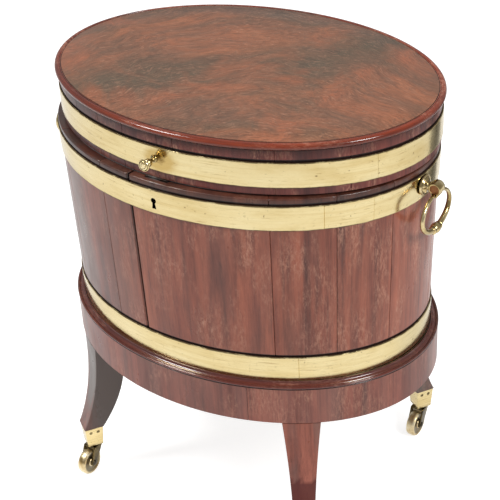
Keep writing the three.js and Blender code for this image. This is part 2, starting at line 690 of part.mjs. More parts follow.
// Hinges: the body leaf carries the outer knuckles and the pin, the lid leaf the middle knuckle
function bodyLeaf() {
  const half = HINGE_WIDTH / 2;
  const innerHalf = MIDDLE_KNUCKLE_WIDTH / 2 + KNUCKLE_GAP;
  const leafFootZ = BODY_TOP_Z + SEAT_GAP - HINGE_AXIS_Z;
  const plate = boxBetween(
    [-half, -HINGE_SET_BACK - LEAF_DEPTH, leafFootZ],
    [half, 0, leafFootZ + LEAF_THICKNESS],
  );
  const notch = boxBetween(
    [-innerHalf, -KNUCKLE_RADIUS - KNUCKLE_GAP, -KNUCKLE_RADIUS],
    [innerHalf, KNUCKLE_RADIUS, KNUCKLE_RADIUS],
  );
  const outer = [[-half, -innerHalf], [innerHalf, half]]
    .map(([x0, x1]) => alongX(rod(KNUCKLE_RADIUS, x0, x1, ROUND_STEPS)));
  const pin = alongX(rod(HINGE_PIN_RADIUS, -half, half));
  return join(cut(plate, notch), ...outer, pin);
}

function lidLeaf() {
  const half = HINGE_WIDTH / 2;
  const tongueHalf = MIDDLE_KNUCKLE_WIDTH / 2;
  const leafTopZ = LID_FOOT_Z - SEAT_GAP - HINGE_AXIS_Z;
  const leafFootZ = leafTopZ - LEAF_THICKNESS;
  const plateEndY = -KNUCKLE_RADIUS - KNUCKLE_GAP;
  const plate = boxBetween([-half, -HINGE_SET_BACK - LEAF_DEPTH, leafFootZ], [half, plateEndY, leafTopZ]);
  const tongue = boxBetween([-tongueHalf, plateEndY - KNUCKLE_GAP, leafFootZ], [tongueHalf, 0, leafTopZ]);
  const knuckle = alongX(rod(KNUCKLE_RADIUS, -tongueHalf, tongueHalf, ROUND_STEPS));
  const bore = alongX(rod(HINGE_PIN_RADIUS + SLIDE_GAP, -half, half));
  return cut(join(plate, tongue, knuckle), bore);
}

function makeHinges() {
  for (const [side, x] of [['left', -HINGE_SPACING / 2], ['right', HINGE_SPACING / 2]]) {
    const place = new THREE.Matrix4().makeTranslation(x, HINGE_AXIS_Y, HINGE_AXIS_Z);
    addPiece(`hinge_body_leaf_${side}`, bodyLeaf(), 'brass', place);
    addPiece(`hinge_lid_leaf_${side}`, lidLeaf(), 'brass', place);
  }
}

// Stand
function makeApron() {
  const profile = [
    [0, APRON_FOOT_Z], [0, APRON_TOP_Z], [-APRON_THICKNESS, APRON_TOP_Z], [-APRON_THICKNESS, APRON_FOOT_Z],
  ];
  const count = APRON_SEAM_NAMES.length;
  APRON_SEAM_NAMES.forEach((name, i) => {
    const from = APRON_SEAM_ANGLES[i];
    const to = i + 1 < count ? APRON_SEAM_ANGLES[i + 1] : APRON_SEAM_ANGLES[0] + FULL_TURN_ANGLE;
    const next = APRON_SEAM_NAMES[(i + 1) % count];
    const stretch = ovalStretch(APRON_OVAL, profile, from, to, APRON_SEAM_GAP, APRON_SEAM_GAP);
    addPiece(`apron_${name}_${next}`, stretch, 'mahogany');
  });
}

// A low moulding on the apron's top edge: a bead outside and a cove up to the body's lower band
function makeRim() {
  const footZ = APRON_TOP_Z + SEAT_GAP;
  const bandOffset = taperOffset(LOWER_BAND_FOOT_Z + RIM_HEIGHT) + BAND_PROUD;
  const reach = Math.max(BODY_HALF_WIDTH - APRON_HALF_WIDTH, BODY_HALF_DEPTH - APRON_HALF_DEPTH);
  const inner = reach + bandOffset + RIM_CLEARANCE;
  const bead = RIM_BEAD_SHARES.map(([out, up]) => [RIM_OVERHANG + RIM_BEAD * out, footZ + RIM_BEAD * up]);
  const cove = RIM_COVE_SHARES.map(([out, up]) => [inner + RIM_BEAD * out, footZ + RIM_HEIGHT * up]);
  const profile = [[inner, footZ], ...bead, ...cove, [inner, footZ + RIM_HEIGHT]];
  addPiece('rim_moulding', ovalRing(APRON_OVAL, profile), 'mahogany');
}

function makeBearers() {
  const inner = { a: APRON_HALF_WIDTH - APRON_THICKNESS, b: APRON_HALF_DEPTH - APRON_THICKNESS };
  const place = APRON_HALF_WIDTH - BEARER_END_MARGIN;
  for (const [name, x] of [['bearer_left', -place], ['bearer_right', place]]) {
    const far = Math.abs(x) + BEARER_WIDTH / 2;
    const halfLength = inner.b * Math.sqrt(1 - (far / inner.a) ** 2) - 2 * SEAT_GAP;
    addPiece(name, boxBetween(
      [x - BEARER_WIDTH / 2, -halfLength, APRON_TOP_Z - BEARER_THICKNESS],
      [x + BEARER_WIDTH / 2, halfLength, APRON_TOP_Z],
    ), 'deal');
  }
}

// A leg in its own frame: +X away from the middle of the stand, Y across, Z up from the floor
function legWidth(share) {
  return LEG_FOOT_SIZE + (LEG_TOP_WIDTH - LEG_FOOT_SIZE) * (1 - share) ** WIDTH_CURVE_POWER;
}

function legOuter(share) {
  return LEG_SPLAY * share ** OUTER_CURVE_POWER;
}

function legInner(share) {
  const foot = LEG_SPLAY - LEG_FOOT_SIZE;
  return -LEG_TOP_DEPTH + (foot + LEG_TOP_DEPTH) * share ** INNER_CURVE_POWER;
}

// A section whose outer face falls back by a sag at its corners, as the apron's curve does
function legSection(inner, outer, width, z, sag) {
  const half = width / 2;
  const corner = outer - sag;
  const shoulder = outer - sag / 4;
  const outline = [
    [inner, -half], [corner, -half], [shoulder, -half / 2], [outer, 0],
    [shoulder, half / 2], [corner, half], [inner, half],
  ];
  return outline.map(([x, y]) => new THREE.Vector3(x, y, z));
}

const LEG_FOOT_MIDDLE = LEG_SPLAY - LEG_FOOT_SIZE / 2;

// How far the apron's face falls back from its tangent across the leg's top
function apronSag(width, degrees) {
  const angle = radians(degrees);
  const speed = Math.hypot(APRON_HALF_WIDTH * Math.sin(angle), APRON_HALF_DEPTH * Math.cos(angle));
  const bend = speed ** 3 / (APRON_HALF_WIDTH * APRON_HALF_DEPTH);
  return width ** 2 / (8 * bend);
}

function leg(degrees) {
  const topZ = APRON_FOOT_Z - SEAT_GAP;
  const reach = topZ - LEG_FOOT_Z;
  const peg = LEG_PEG_SIZE / 2;
  const sections = [];
  for (const z of [LEG_FOOT_Z - LEG_PEG_LENGTH, LEG_FOOT_Z]) {
    sections.push(legSection(LEG_FOOT_MIDDLE - peg, LEG_FOOT_MIDDLE + peg, LEG_PEG_SIZE, z, 0));
  }
  for (let i = 0; i <= LEG_SECTIONS; i += 1) {
    const share = 1 - i / LEG_SECTIONS;
    const sag = apronSag(LEG_TOP_WIDTH, degrees) * (1 - share) ** 2;
    sections.push(legSection(legInner(share), legOuter(share), legWidth(share), topZ - reach * share, sag));
  }
  const blockOuter = -APRON_THICKNESS - SEAT_GAP - apronSag(LEG_BLOCK_WIDTH, degrees);
  for (const z of [topZ, APRON_FOOT_Z + LEG_BLOCK_HEIGHT]) {
    sections.push(legSection(-LEG_TOP_DEPTH, blockOuter, LEG_BLOCK_WIDTH, z, 0));
  }
  return loft(sections);
}

function legPlace(degrees) {
  const angle = radians(degrees);
  const x = APRON_HALF_WIDTH * Math.cos(angle);
  const y = APRON_HALF_DEPTH * Math.sin(angle);
  const facing = Math.atan2(Math.sin(angle) / APRON_HALF_DEPTH, Math.cos(angle) / APRON_HALF_WIDTH);
  return new THREE.Matrix4().makeTranslation(x, y, 0).multiply(new THREE.Matrix4().makeRotationZ(facing));
}

function squareRing(size, z) {
  return rectangleRing(-size / 2, size / 2, -size / 2, size / 2, z);
}

function castorCap() {
  const topZ = CAP_FOOT_Z + CAP_HEIGHT;
  const shell = loft([squareRing(CAP_FOOT_SIZE, CAP_FOOT_Z), squareRing(CAP_TOP_SIZE, topZ)]);
  const half = LEG_PEG_SIZE / 2 + SEAT_GAP;
  const socketFootZ = LEG_FOOT_Z - LEG_PEG_LENGTH - SEAT_GAP;
  const socket = boxBetween([-half, -half, socketFootZ], [half, half, topZ + CUT_OVERRUN]);
  const bore = rod(STEM_RADIUS + SEAT_GAP, CAP_FOOT_Z - CUT_OVERRUN, CAP_FOOT_Z + STEM_LENGTH + SEAT_GAP);
  return cut(shell, socket, bore);
}

const CROWN_BACK_Y = COLLAR_RADIUS * CROWN_BACK_SHARE;
const CROWN_FRONT_Y = -COLLAR_RADIUS * CROWN_FRONT_SHARE;

// The fork trails its wheel towards the front
function castorFork() {
  const crownFootZ = 2 * WHEEL_RADIUS + CROWN_CLEARANCE;
  const crownTopZ = crownFootZ + CROWN_THICKNESS;
  const stemTopZ = CAP_FOOT_Z + STEM_LENGTH;
  const stem = turnedSolid([
    [0, crownFootZ], [CROWN_BACK_Y, crownFootZ],
    ...outlineOf(COLLAR_OUTLINE_SHARES, COLLAR_RADIUS, COLLAR_HEIGHT, crownTopZ),
    [STEM_RADIUS, crownTopZ + COLLAR_HEIGHT], [STEM_RADIUS, stemTopZ], [0, stemTopZ],
  ], SMALL_ROUND_STEPS);
  const inside = WHEEL_WIDTH / 2 + CHEEK_GAP;
  const outside = inside + CHEEK_THICKNESS;
  const crown = boxBetween([-outside, CROWN_FRONT_Y, crownFootZ], [outside, CROWN_BACK_Y, crownTopZ]);
  const cheeks = [[-outside, -inside], [inside, outside]].map(([x0, x1]) => cheek(x0, x1, crownTopZ));
  const bore = alongX(rod(AXLE_RADIUS + SEAT_GAP, -outside - CUT_OVERRUN, outside + CUT_OVERRUN));
  bore.translate(0, -CASTOR_TRAIL, WHEEL_RADIUS);
  return cut(join(stem, crown, ...cheeks), bore);
}

function cheek(x0, x1, topZ) {
  const outline = [[CROWN_BACK_Y, topZ], [CROWN_FRONT_Y, topZ]];
  for (let i = 0; i <= CHEEK_ARC_STEPS; i += 1) {
    const angle = radians(CHEEK_ARC_FROM + (CHEEK_ARC_SWEEP * i) / CHEEK_ARC_STEPS);
    const y = -CASTOR_TRAIL + CHEEK_END_RADIUS * Math.cos(angle);
    outline.push([y, WHEEL_RADIUS + CHEEK_END_RADIUS * Math.sin(angle)]);
  }
  return loft([x0, x1].map((x) => outline.map(([y, z]) => new THREE.Vector3(x, y, z))));
}

function castorWheel() {
  const half = WHEEL_WIDTH / 2;
  const bore = AXLE_RADIUS + SEAT_GAP;
  const [shoulderRadiusShare, shoulderWidthShare] = WHEEL_SHOULDER_SHARES;
  const face = [
    [bore, half], [WHEEL_HUB_RADIUS, half], [WHEEL_HUB_RADIUS * WHEEL_DISH_FOOT_SHARE, half - WHEEL_DISH],
    [WHEEL_RADIUS * WHEEL_DISH_EDGE_SHARE, half - WHEEL_DISH],
    [WHEEL_RADIUS * shoulderRadiusShare, half * shoulderWidthShare],
    [WHEEL_RADIUS, half * WHEEL_TREAD_SHARE],
  ];
  const otherFace = face.map(([radius, x]) => [radius, -x]);
  const wheel = turnedSolid([...otherFace, ...face.reverse(), otherFace[0]]);
  return alongX(wheel).rotateX(Math.PI / ROUND_STEPS).translate(0, -CASTOR_TRAIL, WHEEL_RADIUS);
}

function castorAxle() {
  const half = WHEEL_WIDTH / 2 + CHEEK_GAP + CHEEK_THICKNESS + SEAT_GAP;
  const end = half + AXLE_HEAD_HEIGHT;
  const faceRadius = AXLE_HEAD_RADIUS * AXLE_HEAD_FACE_SHARE;
  return alongX(turnedSolid([
    [0, -end], [faceRadius, -end], [AXLE_HEAD_RADIUS, -half], [AXLE_RADIUS, -half],
    [AXLE_RADIUS, half], [AXLE_HEAD_RADIUS, half], [faceRadius, end], [0, end],
  ], SMALL_ROUND_STEPS)).translate(0, -CASTOR_TRAIL, WHEEL_RADIUS);
}

function makeLegsAndCastors() {
  for (const [name, degrees] of Object.entries(LEG_ANGLES)) {
    const place = legPlace(degrees);
    addPiece(`leg_${name}`, leg(degrees), 'mahogany', place);
    const capPlace = place.clone().multiply(new THREE.Matrix4().makeTranslation(LEG_FOOT_MIDDLE, 0, 0));
    addPiece(`cap_${name}`, castorCap(), 'brass', capPlace);
    const foot = new THREE.Vector3().setFromMatrixPosition(capPlace);
    const castorPlace = new THREE.Matrix4().makeTranslation(foot.x, foot.y, 0);
    addPiece(`castor_fork_${name}`, castorFork(), 'agedBrass', castorPlace);
    addPiece(`castor_wheel_${name}`, castorWheel(), 'brass', castorPlace);
    addPiece(`castor_axle_${name}`, castorAxle(), 'steel', castorPlace);
  }
}

makeApron();
makeRim();
makeBearers();
makeLegsAndCastors();
makeStaves();
makeBody();
makeLock();
makeHandles();
makeLid();
makeHinges();

// Stand the whole object over the origin
const bounds = new THREE.Box3().setFromObject(model);
const middle = bounds.getCenter(new THREE.Vector3());
model.position.set(-middle.x, -middle.y, -bounds.min.z);
model.updateMatrixWorld(true);

export default model;
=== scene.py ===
import math
from collections import namedtuple

import bmesh
import bpy
from mathutils import Matrix, Vector, noise


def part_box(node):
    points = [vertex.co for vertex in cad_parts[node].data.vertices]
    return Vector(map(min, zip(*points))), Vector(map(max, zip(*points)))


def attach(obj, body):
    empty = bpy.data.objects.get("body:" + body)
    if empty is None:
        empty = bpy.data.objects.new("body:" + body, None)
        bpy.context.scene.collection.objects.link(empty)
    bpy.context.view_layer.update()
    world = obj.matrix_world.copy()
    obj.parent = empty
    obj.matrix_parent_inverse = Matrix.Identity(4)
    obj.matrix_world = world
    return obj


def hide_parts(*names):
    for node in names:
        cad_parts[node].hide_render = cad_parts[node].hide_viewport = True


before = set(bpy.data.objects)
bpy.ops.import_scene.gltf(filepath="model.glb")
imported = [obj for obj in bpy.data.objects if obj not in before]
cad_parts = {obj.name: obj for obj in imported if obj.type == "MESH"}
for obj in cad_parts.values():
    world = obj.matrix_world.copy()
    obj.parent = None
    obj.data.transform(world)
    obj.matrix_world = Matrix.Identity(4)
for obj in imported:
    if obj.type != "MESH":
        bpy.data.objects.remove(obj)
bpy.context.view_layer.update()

# Metres, +Z up, front towards -Y, as the frame is; angles in degrees
MM = 0.001
DEGREE = math.pi / 180
TURN = 2 * math.pi
OVAL_STEP_ANGLE = 1.5
ARC_STEPS = 720
ROUND_STEPS = 40
FINE_ROUND_STEPS = 56
SMALL_ROUND_STEPS = 24
SEAT_GAP = 0.3 * MM
CUT_MARGIN = 1 * MM

# Wood
STAVE_THICKNESS = 18 * MM
STAVE_JOINT_ANGLES = [-98.5, -57, -37.5, -17.5, 10, 37, 64, 91, 118, 145, 172, 199, 225, 250]
STAVE_GAP = 0.5 * MM
SHRUNK_GAP = 2.6 * MM
STAVE_ARRIS = 0.5 * MM
SHRUNK_ARRIS = 1.9 * MM
SHRUNK_DIRT_MARGIN = 0.4 * MM
TOP_EDGE_RADIUS = 2.2 * MM
LID_SIDE_JOINT_ANGLES = [
    -112, -101.7, -89.8, -84.9, -56.4, -34.4, -11.6, 14, 41, 70, 98, 126, 155, 186, 214, 236,
]
LID_FOOT_ARRIS = 0.8 * MM
LID_HEAD_ARRIS = 1.2 * MM
JOINT_LINE_WIDTH = 0.9 * MM
JOINT_LINE_DEPTH = 0.7 * MM

# Dirt and painted shade
LINE_WIDTH = 3.7 * MM
LINE_DEPTH = 1.7 * MM
LINE_LAP = 0.4 * MM
LINE_FADE = 0.9 * MM
LINE_FLOOR_SHARE = 0.7
LINE_DIRT_AND_SHADE_LAP = 0.5 * MM
# Darkness of the dirt, and of the painted shade in the sunk lines above the bands and in the keyhole
DIRT_AND_SHADE_SHARE = 0.94
# Painted shade under the lid's bead, also used for the darkening down in the quirk and the groove
DEEP_DIRT_AND_SHADE_SHARE = 0.9
# Painted shade on the body's ledge under the lid
LEDGE_SHADE_SHARE = 0.7
UNDER_BEAD_REACH = 3 * MM
BAND_TOP_DIRT_AND_SHADE_REACH = 1.4 * MM
BAND_FOOT_DIRT_REACH = 1.6 * MM

# Brass bands
BAND_THICKNESS = 1.5 * MM
BAND_ROUNDING = 0.5 * MM
BAND_SWELL = 0.25 * MM
BAND_HEIGHT_SHARES = (0.045, 0.25, 0.5, 0.75, 0.955)
EDGE_WAVER = 0.35 * MM
SEAM_WIDTH = 0.7 * MM
SEAM_DEPTH = 0.5 * MM
LID_BAND_SEAM_ANGLES = [-25.5, 155]
UPPER_BAND_SEAM_ANGLES = [-41.5, -25.5, 150]
LOWER_BAND_SEAM_ANGLES = [-50, 132]

# Lid top; the groove's outline is in millimetres from the quirk and the top
BEAD_RADIUS = 4.5 * MM
BEAD_SEAT = 0.2 * MM
BEAD_INNER_ARRIS = 0.4 * MM
BEAD_INNER_DROP = 0.6 * MM
BEAD_INNER_SLOPE = 0.1 * MM
QUIRK_WIDTH = 1.4 * MM
QUIRK_DEPTH = 1.1 * MM
QUIRK_INSET = 8.4 * MM
QUIRK_DARK_DEPTH = 0.9 * MM
QUIRK_UNDARKENED_DEPTH = 0.1 * MM
GROOVE_DARK_REACH = 1.5 * MM
GROOVE_DARK_DEPTH = 0.4 * MM
BOARD_CLEARANCE = 0.4 * MM
BOARD_ARRIS_WIDTH = 0.5 * MM
BOARD_ARRIS_DEPTH = 0.3 * MM
BOARD_RING_SHARES = (0.2, 0.45, 0.7)
GROOVE_OUTLINE = [(1.6, -0.1), (1.3, -0.75), (0.8, -0.75), (0.5, -0.1), (0, -0.15)]
FAN_ANGLE = -28
PLUME_ANGLE = 46
PLUME_HALF_WIDTH = 85 * MM

# Stand
APRON_SEAM_ANGLES = [-66, 24, 114, 204]
APRON_THICKNESS = 20 * MM
APRON_FOOT_ARRIS = 1 * MM
APRON_GAP = 0.4 * MM
APRON_JOINT_ARRIS = 0.15 * MM
RIM_CLEARANCE = 0.6 * MM
RIM_FOOT_ARRIS = 0.6 * MM
RIM_FOOT_RISE = 0.7 * MM
RIM_BEAD_INSET = 1.4 * MM
RIM_BEAD_RADIUS = 2 * MM
RIM_BEAD_RISE = 1 * MM
RIM_STEP_WIDTH = 0.4 * MM
RIM_STEP_DROP = 0.8 * MM
RIM_STEP_HEAD_DROP = 0.2 * MM
RIM_TOP_WIDTH = 0.6 * MM
RIM_TOP_RISE = 0.3 * MM
RIM_COVE_RISE = 4.4 * MM
RIM_COVE_INSET = 1.2 * MM
RIM_COVE_SHARES = (0.35, 0.6, 0.8, 0.93)
RIM_SEAM_WIDTH = 0.3 * MM
RIM_FOOT_SHADE_REACH = 1.2 * MM

# Legs, in a frame of their own: x away from the middle of the stand, y across
LEG_ANGLES = {"front_left": -133, "front_right": -50.3, "rear_right": 49, "rear_left": 131}
# Warmth of each leg's colour; a cold leg turns grey, and the grey of the front left leg is painted sheen
LEG_WARMTH_AND_SHEEN_SHARES = {"front_left": 0.0, "front_right": 0.55, "rear_right": 0.4, "rear_left": 0.4}
LEG_SPLAY = 30 * MM
LEG_TOP_WIDTH = 56 * MM
LEG_FOOT_SIZE = 32 * MM
LEG_TOP_DEPTH = 48 * MM
LEG_BLOCK_HEIGHT = 50 * MM
LEG_BLOCK_WIDTH = 50 * MM
LEG_ARRIS = 1.1 * MM
LEG_STEPS = 26
LEG_FACE_SHARES = (-0.66, -0.33, 0, 0.33, 0.66)
OUTER_CURVE_POWER = 2.5
INNER_CURVE_POWER = 2.6
WIDTH_CURVE_POWER = 1.35
LEG_DIRT_REACH = 2.2 * MM
STAINED_FOOT_SHARES = {"front_right": 0.86}
STAINED_FOOT_HEIGHT = 62 * MM
STAINED_FOOT_WAVER = 4 * MM
STAINED_FOOT_WAVE_SIZE = 6 * MM

# Caps and castors; the axle head's outline is in millimetres from its end
CAP_TOP_SIZE = 30 * MM
CAP_FOOT_SIZE = 25.5 * MM
CAP_ARRIS = 1.3 * MM
CAP_EDGE = 0.5 * MM
CAP_STEPS = 6
CAP_DIRT_REACH = 1.5 * MM
CAP_SCREW_DROP = 8 * MM
CAP_SCREW_SPREAD = 6 * MM
CAP_SCREW_SINKS = (0.35 * MM, 0.05 * MM)
CASTOR_TRAIL = 17 * MM
CHEEK_END_RADIUS = 6.5 * MM
CHEEK_GAP = 1 * MM
FORK_OVERLAP = 0.01 * MM
FORK_ARRIS = 0.45 * MM
CROWN_CLEARANCE = 1.5 * MM
CROWN_THICKNESS = 2.9 * MM
CROWN_BACK = 7.2 * MM
CROWN_FRONT = 12.6 * MM
CROWN_CHAMFER = 1.5 * MM
COLLAR_RADIUS = 9 * MM
COLLAR_LAP = 1.2 * MM
STEM_RADIUS = 4 * MM
WHEEL_OUTLINE_SHARES = [
    (0.147, 1), (0.32, 1), (0.355, 0.93), (0.38, 0.8), (0.66, 0.78), (0.74, 0.86), (0.86, 0.93),
    (0.93, 0.84), (0.975, 0.62), (0.994, 0.32), (1, 0),
]
COLLAR_OUTLINE_SHARES = [
    (0, 0), (0.72, 0), (0.95, 0.16), (1, 0.3), (0.95, 0.44), (0.72, 0.52), (0.66, 0.7), (0.72, 0.9),
    (0.7, 1), (0, 1),
]
AXLE_RADIUS = 3 * MM
AXLE_STEPS = 28
AXLE_HEAD_OUTLINE = [(0, 0), (1.6, -0.12), (3.2, -0.6), (4.3, -1.3), (4.5, -1.6)]

# Handles; the ball's collars have their outline in shares of a radius and millimetres from the outer end
HANDLE_STAND_OFF = 18.3 * MM
HANDLE_SHANK_LENGTH = 14 * MM
HANDLE_SHANK_RADIUS = 3 * MM
ROSETTE_RADIUS = 15 * MM
ROSETTE_OUTLINE_SHARES = [
    (1, 0), (1, 0.06), (0.985, 0.12), (0.94, 0.165), (0.88, 0.17), (0.83, 0.13), (0.79, 0.13), (0.74, 0.2),
    (0.66, 0.27), (0.54, 0.31), (0.45, 0.36), (0.4, 0.43), (0.4, 0.5), (0.47, 0.53), (0.5, 0.58),
    (0.47, 0.63), (0.39, 0.66), (0.38, 1), (0, 1),
]
DRUM_RADIUS = 9.3 * MM
DRUM_LENGTH = 16 * MM
DRUM_OUTLINE_SHARES = [
    (0, 0.8), (0.6, 0.8), (0.68, 0.84), (0.72, 0.97), (0.8, 1), (0.9, 0.985), (0.965, 0.93), (1, 0.82),
    (1, 0.5), (0.94, 0.44), (0.94, 0.34), (1, 0.28), (1, 0),
]
DRUM_END_OUTLINE_SHARES = [(0, 0.62), (0.8, 0.62), (0.8, 0.93), (0.5, 0.965), (0, 0.98)]
EYE_DROP = 8 * MM
EYE_RADIUS = 5.4 * MM
EYE_OUTLINE_SHARES = [(0, -0.94), (0.86, -0.94), (1, -0.799)]
EYE_BORE_RADIUS = 3.4 * MM
EYE_BORE_FLARE = 1.2 * MM
EYE_FLARE_SHARE = 1.25
RING_HALF_WIDTH = 40 * MM
RING_HALF_HEIGHT = 27.5 * MM
RING_THIN_RADIUS = 2.5 * MM
RING_THICK_RADIUS = 4.2 * MM
RING_SIDES = 16
RING_STEPS = 84
BALL_RADIUS = 7.4 * MM
BALL_HEIGHT_SHARE = 1.18
BALL_COLLAR_RADIUS = 6 * MM
BALL_COLLAR_WIDTH = 3 * MM
BALL_COLLAR_OUTLINE = [(0, 0), (0.78, 0), (0.95, 0.5), (1, 1.2), (0.9, 2.1)]
BALL_DIRT_REACH = 0.8 * MM

# Knob, as shares of its head's radius and of its length
KNOB_OUTLINE_SHARES = [
    (0.62, 0), (0.66, 0.025), (0.62, 0.06), (0.42, 0.085), (0.32, 0.13), (0.28, 0.22), (0.30, 0.31),
    (0.44, 0.35), (0.56, 0.40), (0.64, 0.47), (0.67, 0.54), (0.64, 0.61), (0.56, 0.67), (0.44, 0.715),
    (0.32, 0.74), (0.36, 0.775), (0.60, 0.81), (0.90, 0.84), (1, 0.88), (0.99, 0.93), (0.93, 0.965),
    (0.86, 0.97), (0.82, 0.935), (0.76, 0.93), (0.71, 0.965), (0.62, 0.985), (0.48, 0.99), (0.45, 0.965),
    (0.40, 0.965), (0.37, 0.99), (0.2, 0.998), (0, 1),
]
KNOB_SHANK_SHARE = 1 / 3
KNOB_SHANK_RADIUS_SHARE = 0.3
KNOB_NECK_SHARES = (0.1, 0.22, 0.3, 0.75)
# The stain round the knob: tarnish and a painted shadow, shifted to the knob's right
STAIN_AND_SHADOW_SHIFT = 9 * MM
STAIN_AND_SHADOW_REACH = 21 * MM
STAIN_AND_SHADOW_WIDTH_SHARE = 1.5

# Screws and nails; the sink's outline is in shares of the screw's radius and in millimetres
SCREW_RADIUS = 2.6 * MM
SCREW_DEPTH = 1.6 * MM
SCREW_OUTLINE_SHARES = [
    (0, -1), (0.35, -1), (0.92, -0.15625), (1, -0.05), (0.97, 0.025), (0.6, 0.1), (0, 0.125),
]
SINK_OUTLINE = [(0, -2), (0.4, -2), (1.08, 0), (1.3, 1), (0, 1)]
SLOT_WIDTH = 0.7 * MM
SLOT_DEPTH = 0.8 * MM
NAIL_RADIUS = 1.0 * MM
NAIL_SINK = 0.6 * MM
NAIL_RISE = 0.12 * MM
NAIL_STEPS = 14
NAIL_SEAM_DISTANCE = 4.5 * MM
NAIL_HEIGHT_SHARES = (0.7, 0.27)
HINGE_SCREW_SHARES = (0.17, 0.5, 0.83)
HINGE_SCREW_INSETS = (9.5 * MM, 5.5 * MM, 9.5 * MM)
HINGE_BODY_LEAF_THICKNESS = 1.2 * MM
HINGE_LID_SCREW_DROP = 0.92 * MM

# Keyhole and lock
KEYHOLE_RADIUS = 4.3 * MM
KEYHOLE_SLOT_WIDTH = 6 * MM
KEYHOLE_FOOT_SHARE = 1.15
KEYHOLE_HEIGHT = 17 * MM
KEYHOLE_DROP = 32 * MM
KEYHOLE_CUT_START = 6 * MM
KEYHOLE_CUT_LENGTH = 16 * MM
SLEEVE_CLEARANCE = 0.05 * MM
SLEEVE_THICKNESS = 0.5 * MM
BOLT_THROW = 9 * MM
BOLT_CLEARANCE = 0.6 * MM

# Edge of the lining under the lid
LIP_OUTER_INSET = 13 * MM
LIP_INNER_INSET = 17.5 * MM
LIP_ROUNDING = 0.5 * MM
LIP_CLEARANCE = 0.6 * MM

# Camera, worked out from the ellipses of the bands in a 500 by 500 picture
CAMERA_LENS = 99.9
CAMERA_SENSOR = 36
CAMERA_DISTANCE = 2.0224
CAMERA_PLACE_AZIMUTH = 34.871
CAMERA_PLACE_ELEVATION = 26.645
CAMERA_VIEW_AZIMUTH = 34.895
CAMERA_VIEW_ELEVATION = 31.855
CAMERA_ROLL = -3.128

# Studio
WORLD_LEVEL = 0.5
WORLD_SHARES = {"Is Camera Ray": 1.0, "Is Glossy Ray": 0.4, "Is Transmission Ray": 1.0}
LIGHT_TARGET_HEIGHT = 0.4
CARD_HEIGHT = 0.7
FLOOR_HALF_WIDTH = 4.0
FLOOR_SHADE = 0.6
FLOOR_GLOW = 0.75
FLOOR_GLOSS_SHARE = 0.55

Oval = namedtuple("Oval", "x y a b")


def box_of(names):
    corners = [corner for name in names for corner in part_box(name)]
    low = Vector(min(corner[i] for corner in corners) for i in range(3))
    high = Vector(max(corner[i] for corner in corners) for i in range(3))
    return low, high


def oval_of(names):
    low, high = box_of(names)
    return Oval((low.x + high.x) / 2, (low.y + high.y) / 2, (high.x - low.x) / 2, (high.y - low.y) / 2)


STAVES = [f"stave_{i:02d}" for i in range(1, len(STAVE_JOINT_ANGLES) + 1)]
APRONS = ["apron_front_right", "apron_right_rear", "apron_rear_left", "apron_left_front"]
HINGE_LEAVES = [f"hinge_{part}_leaf_{side}" for part in ("body", "lid") for side in ("left", "right")]

BODY_LOW, BODY_HIGH = box_of(STAVES)
BODY_OVAL = oval_of(STAVES)
LID_OVAL = oval_of(["lid_side"])
APRON_OVAL = oval_of(APRONS)
APRON_LOW, APRON_HIGH = box_of(APRONS)
UPPER_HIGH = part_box("upper_band")[1]
LOWER_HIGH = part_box("lower_band")[1]
LID_BAND_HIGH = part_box("lid_band")[1]
LID_SIDE_LOW, LID_SIDE_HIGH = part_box("lid_side")
KNOB_LOW, KNOB_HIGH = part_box("lid_knob")
KNOB_X = (KNOB_LOW.x + KNOB_HIGH.x) / 2
KNOB_Z = (KNOB_LOW.z + KNOB_HIGH.z) / 2
TAPER_SHARE = (UPPER_HIGH.x - LOWER_HIGH.x) / (UPPER_HIGH.z - LOWER_HIGH.z)
BAND_PROUD = UPPER_HIGH.x - BODY_OVAL.x - BODY_OVAL.a + TAPER_SHARE * (BODY_HIGH.z - UPPER_HIGH.z)
BAND_INNER = BAND_PROUD - BAND_THICKNESS


# Materials: a small builder for node trees

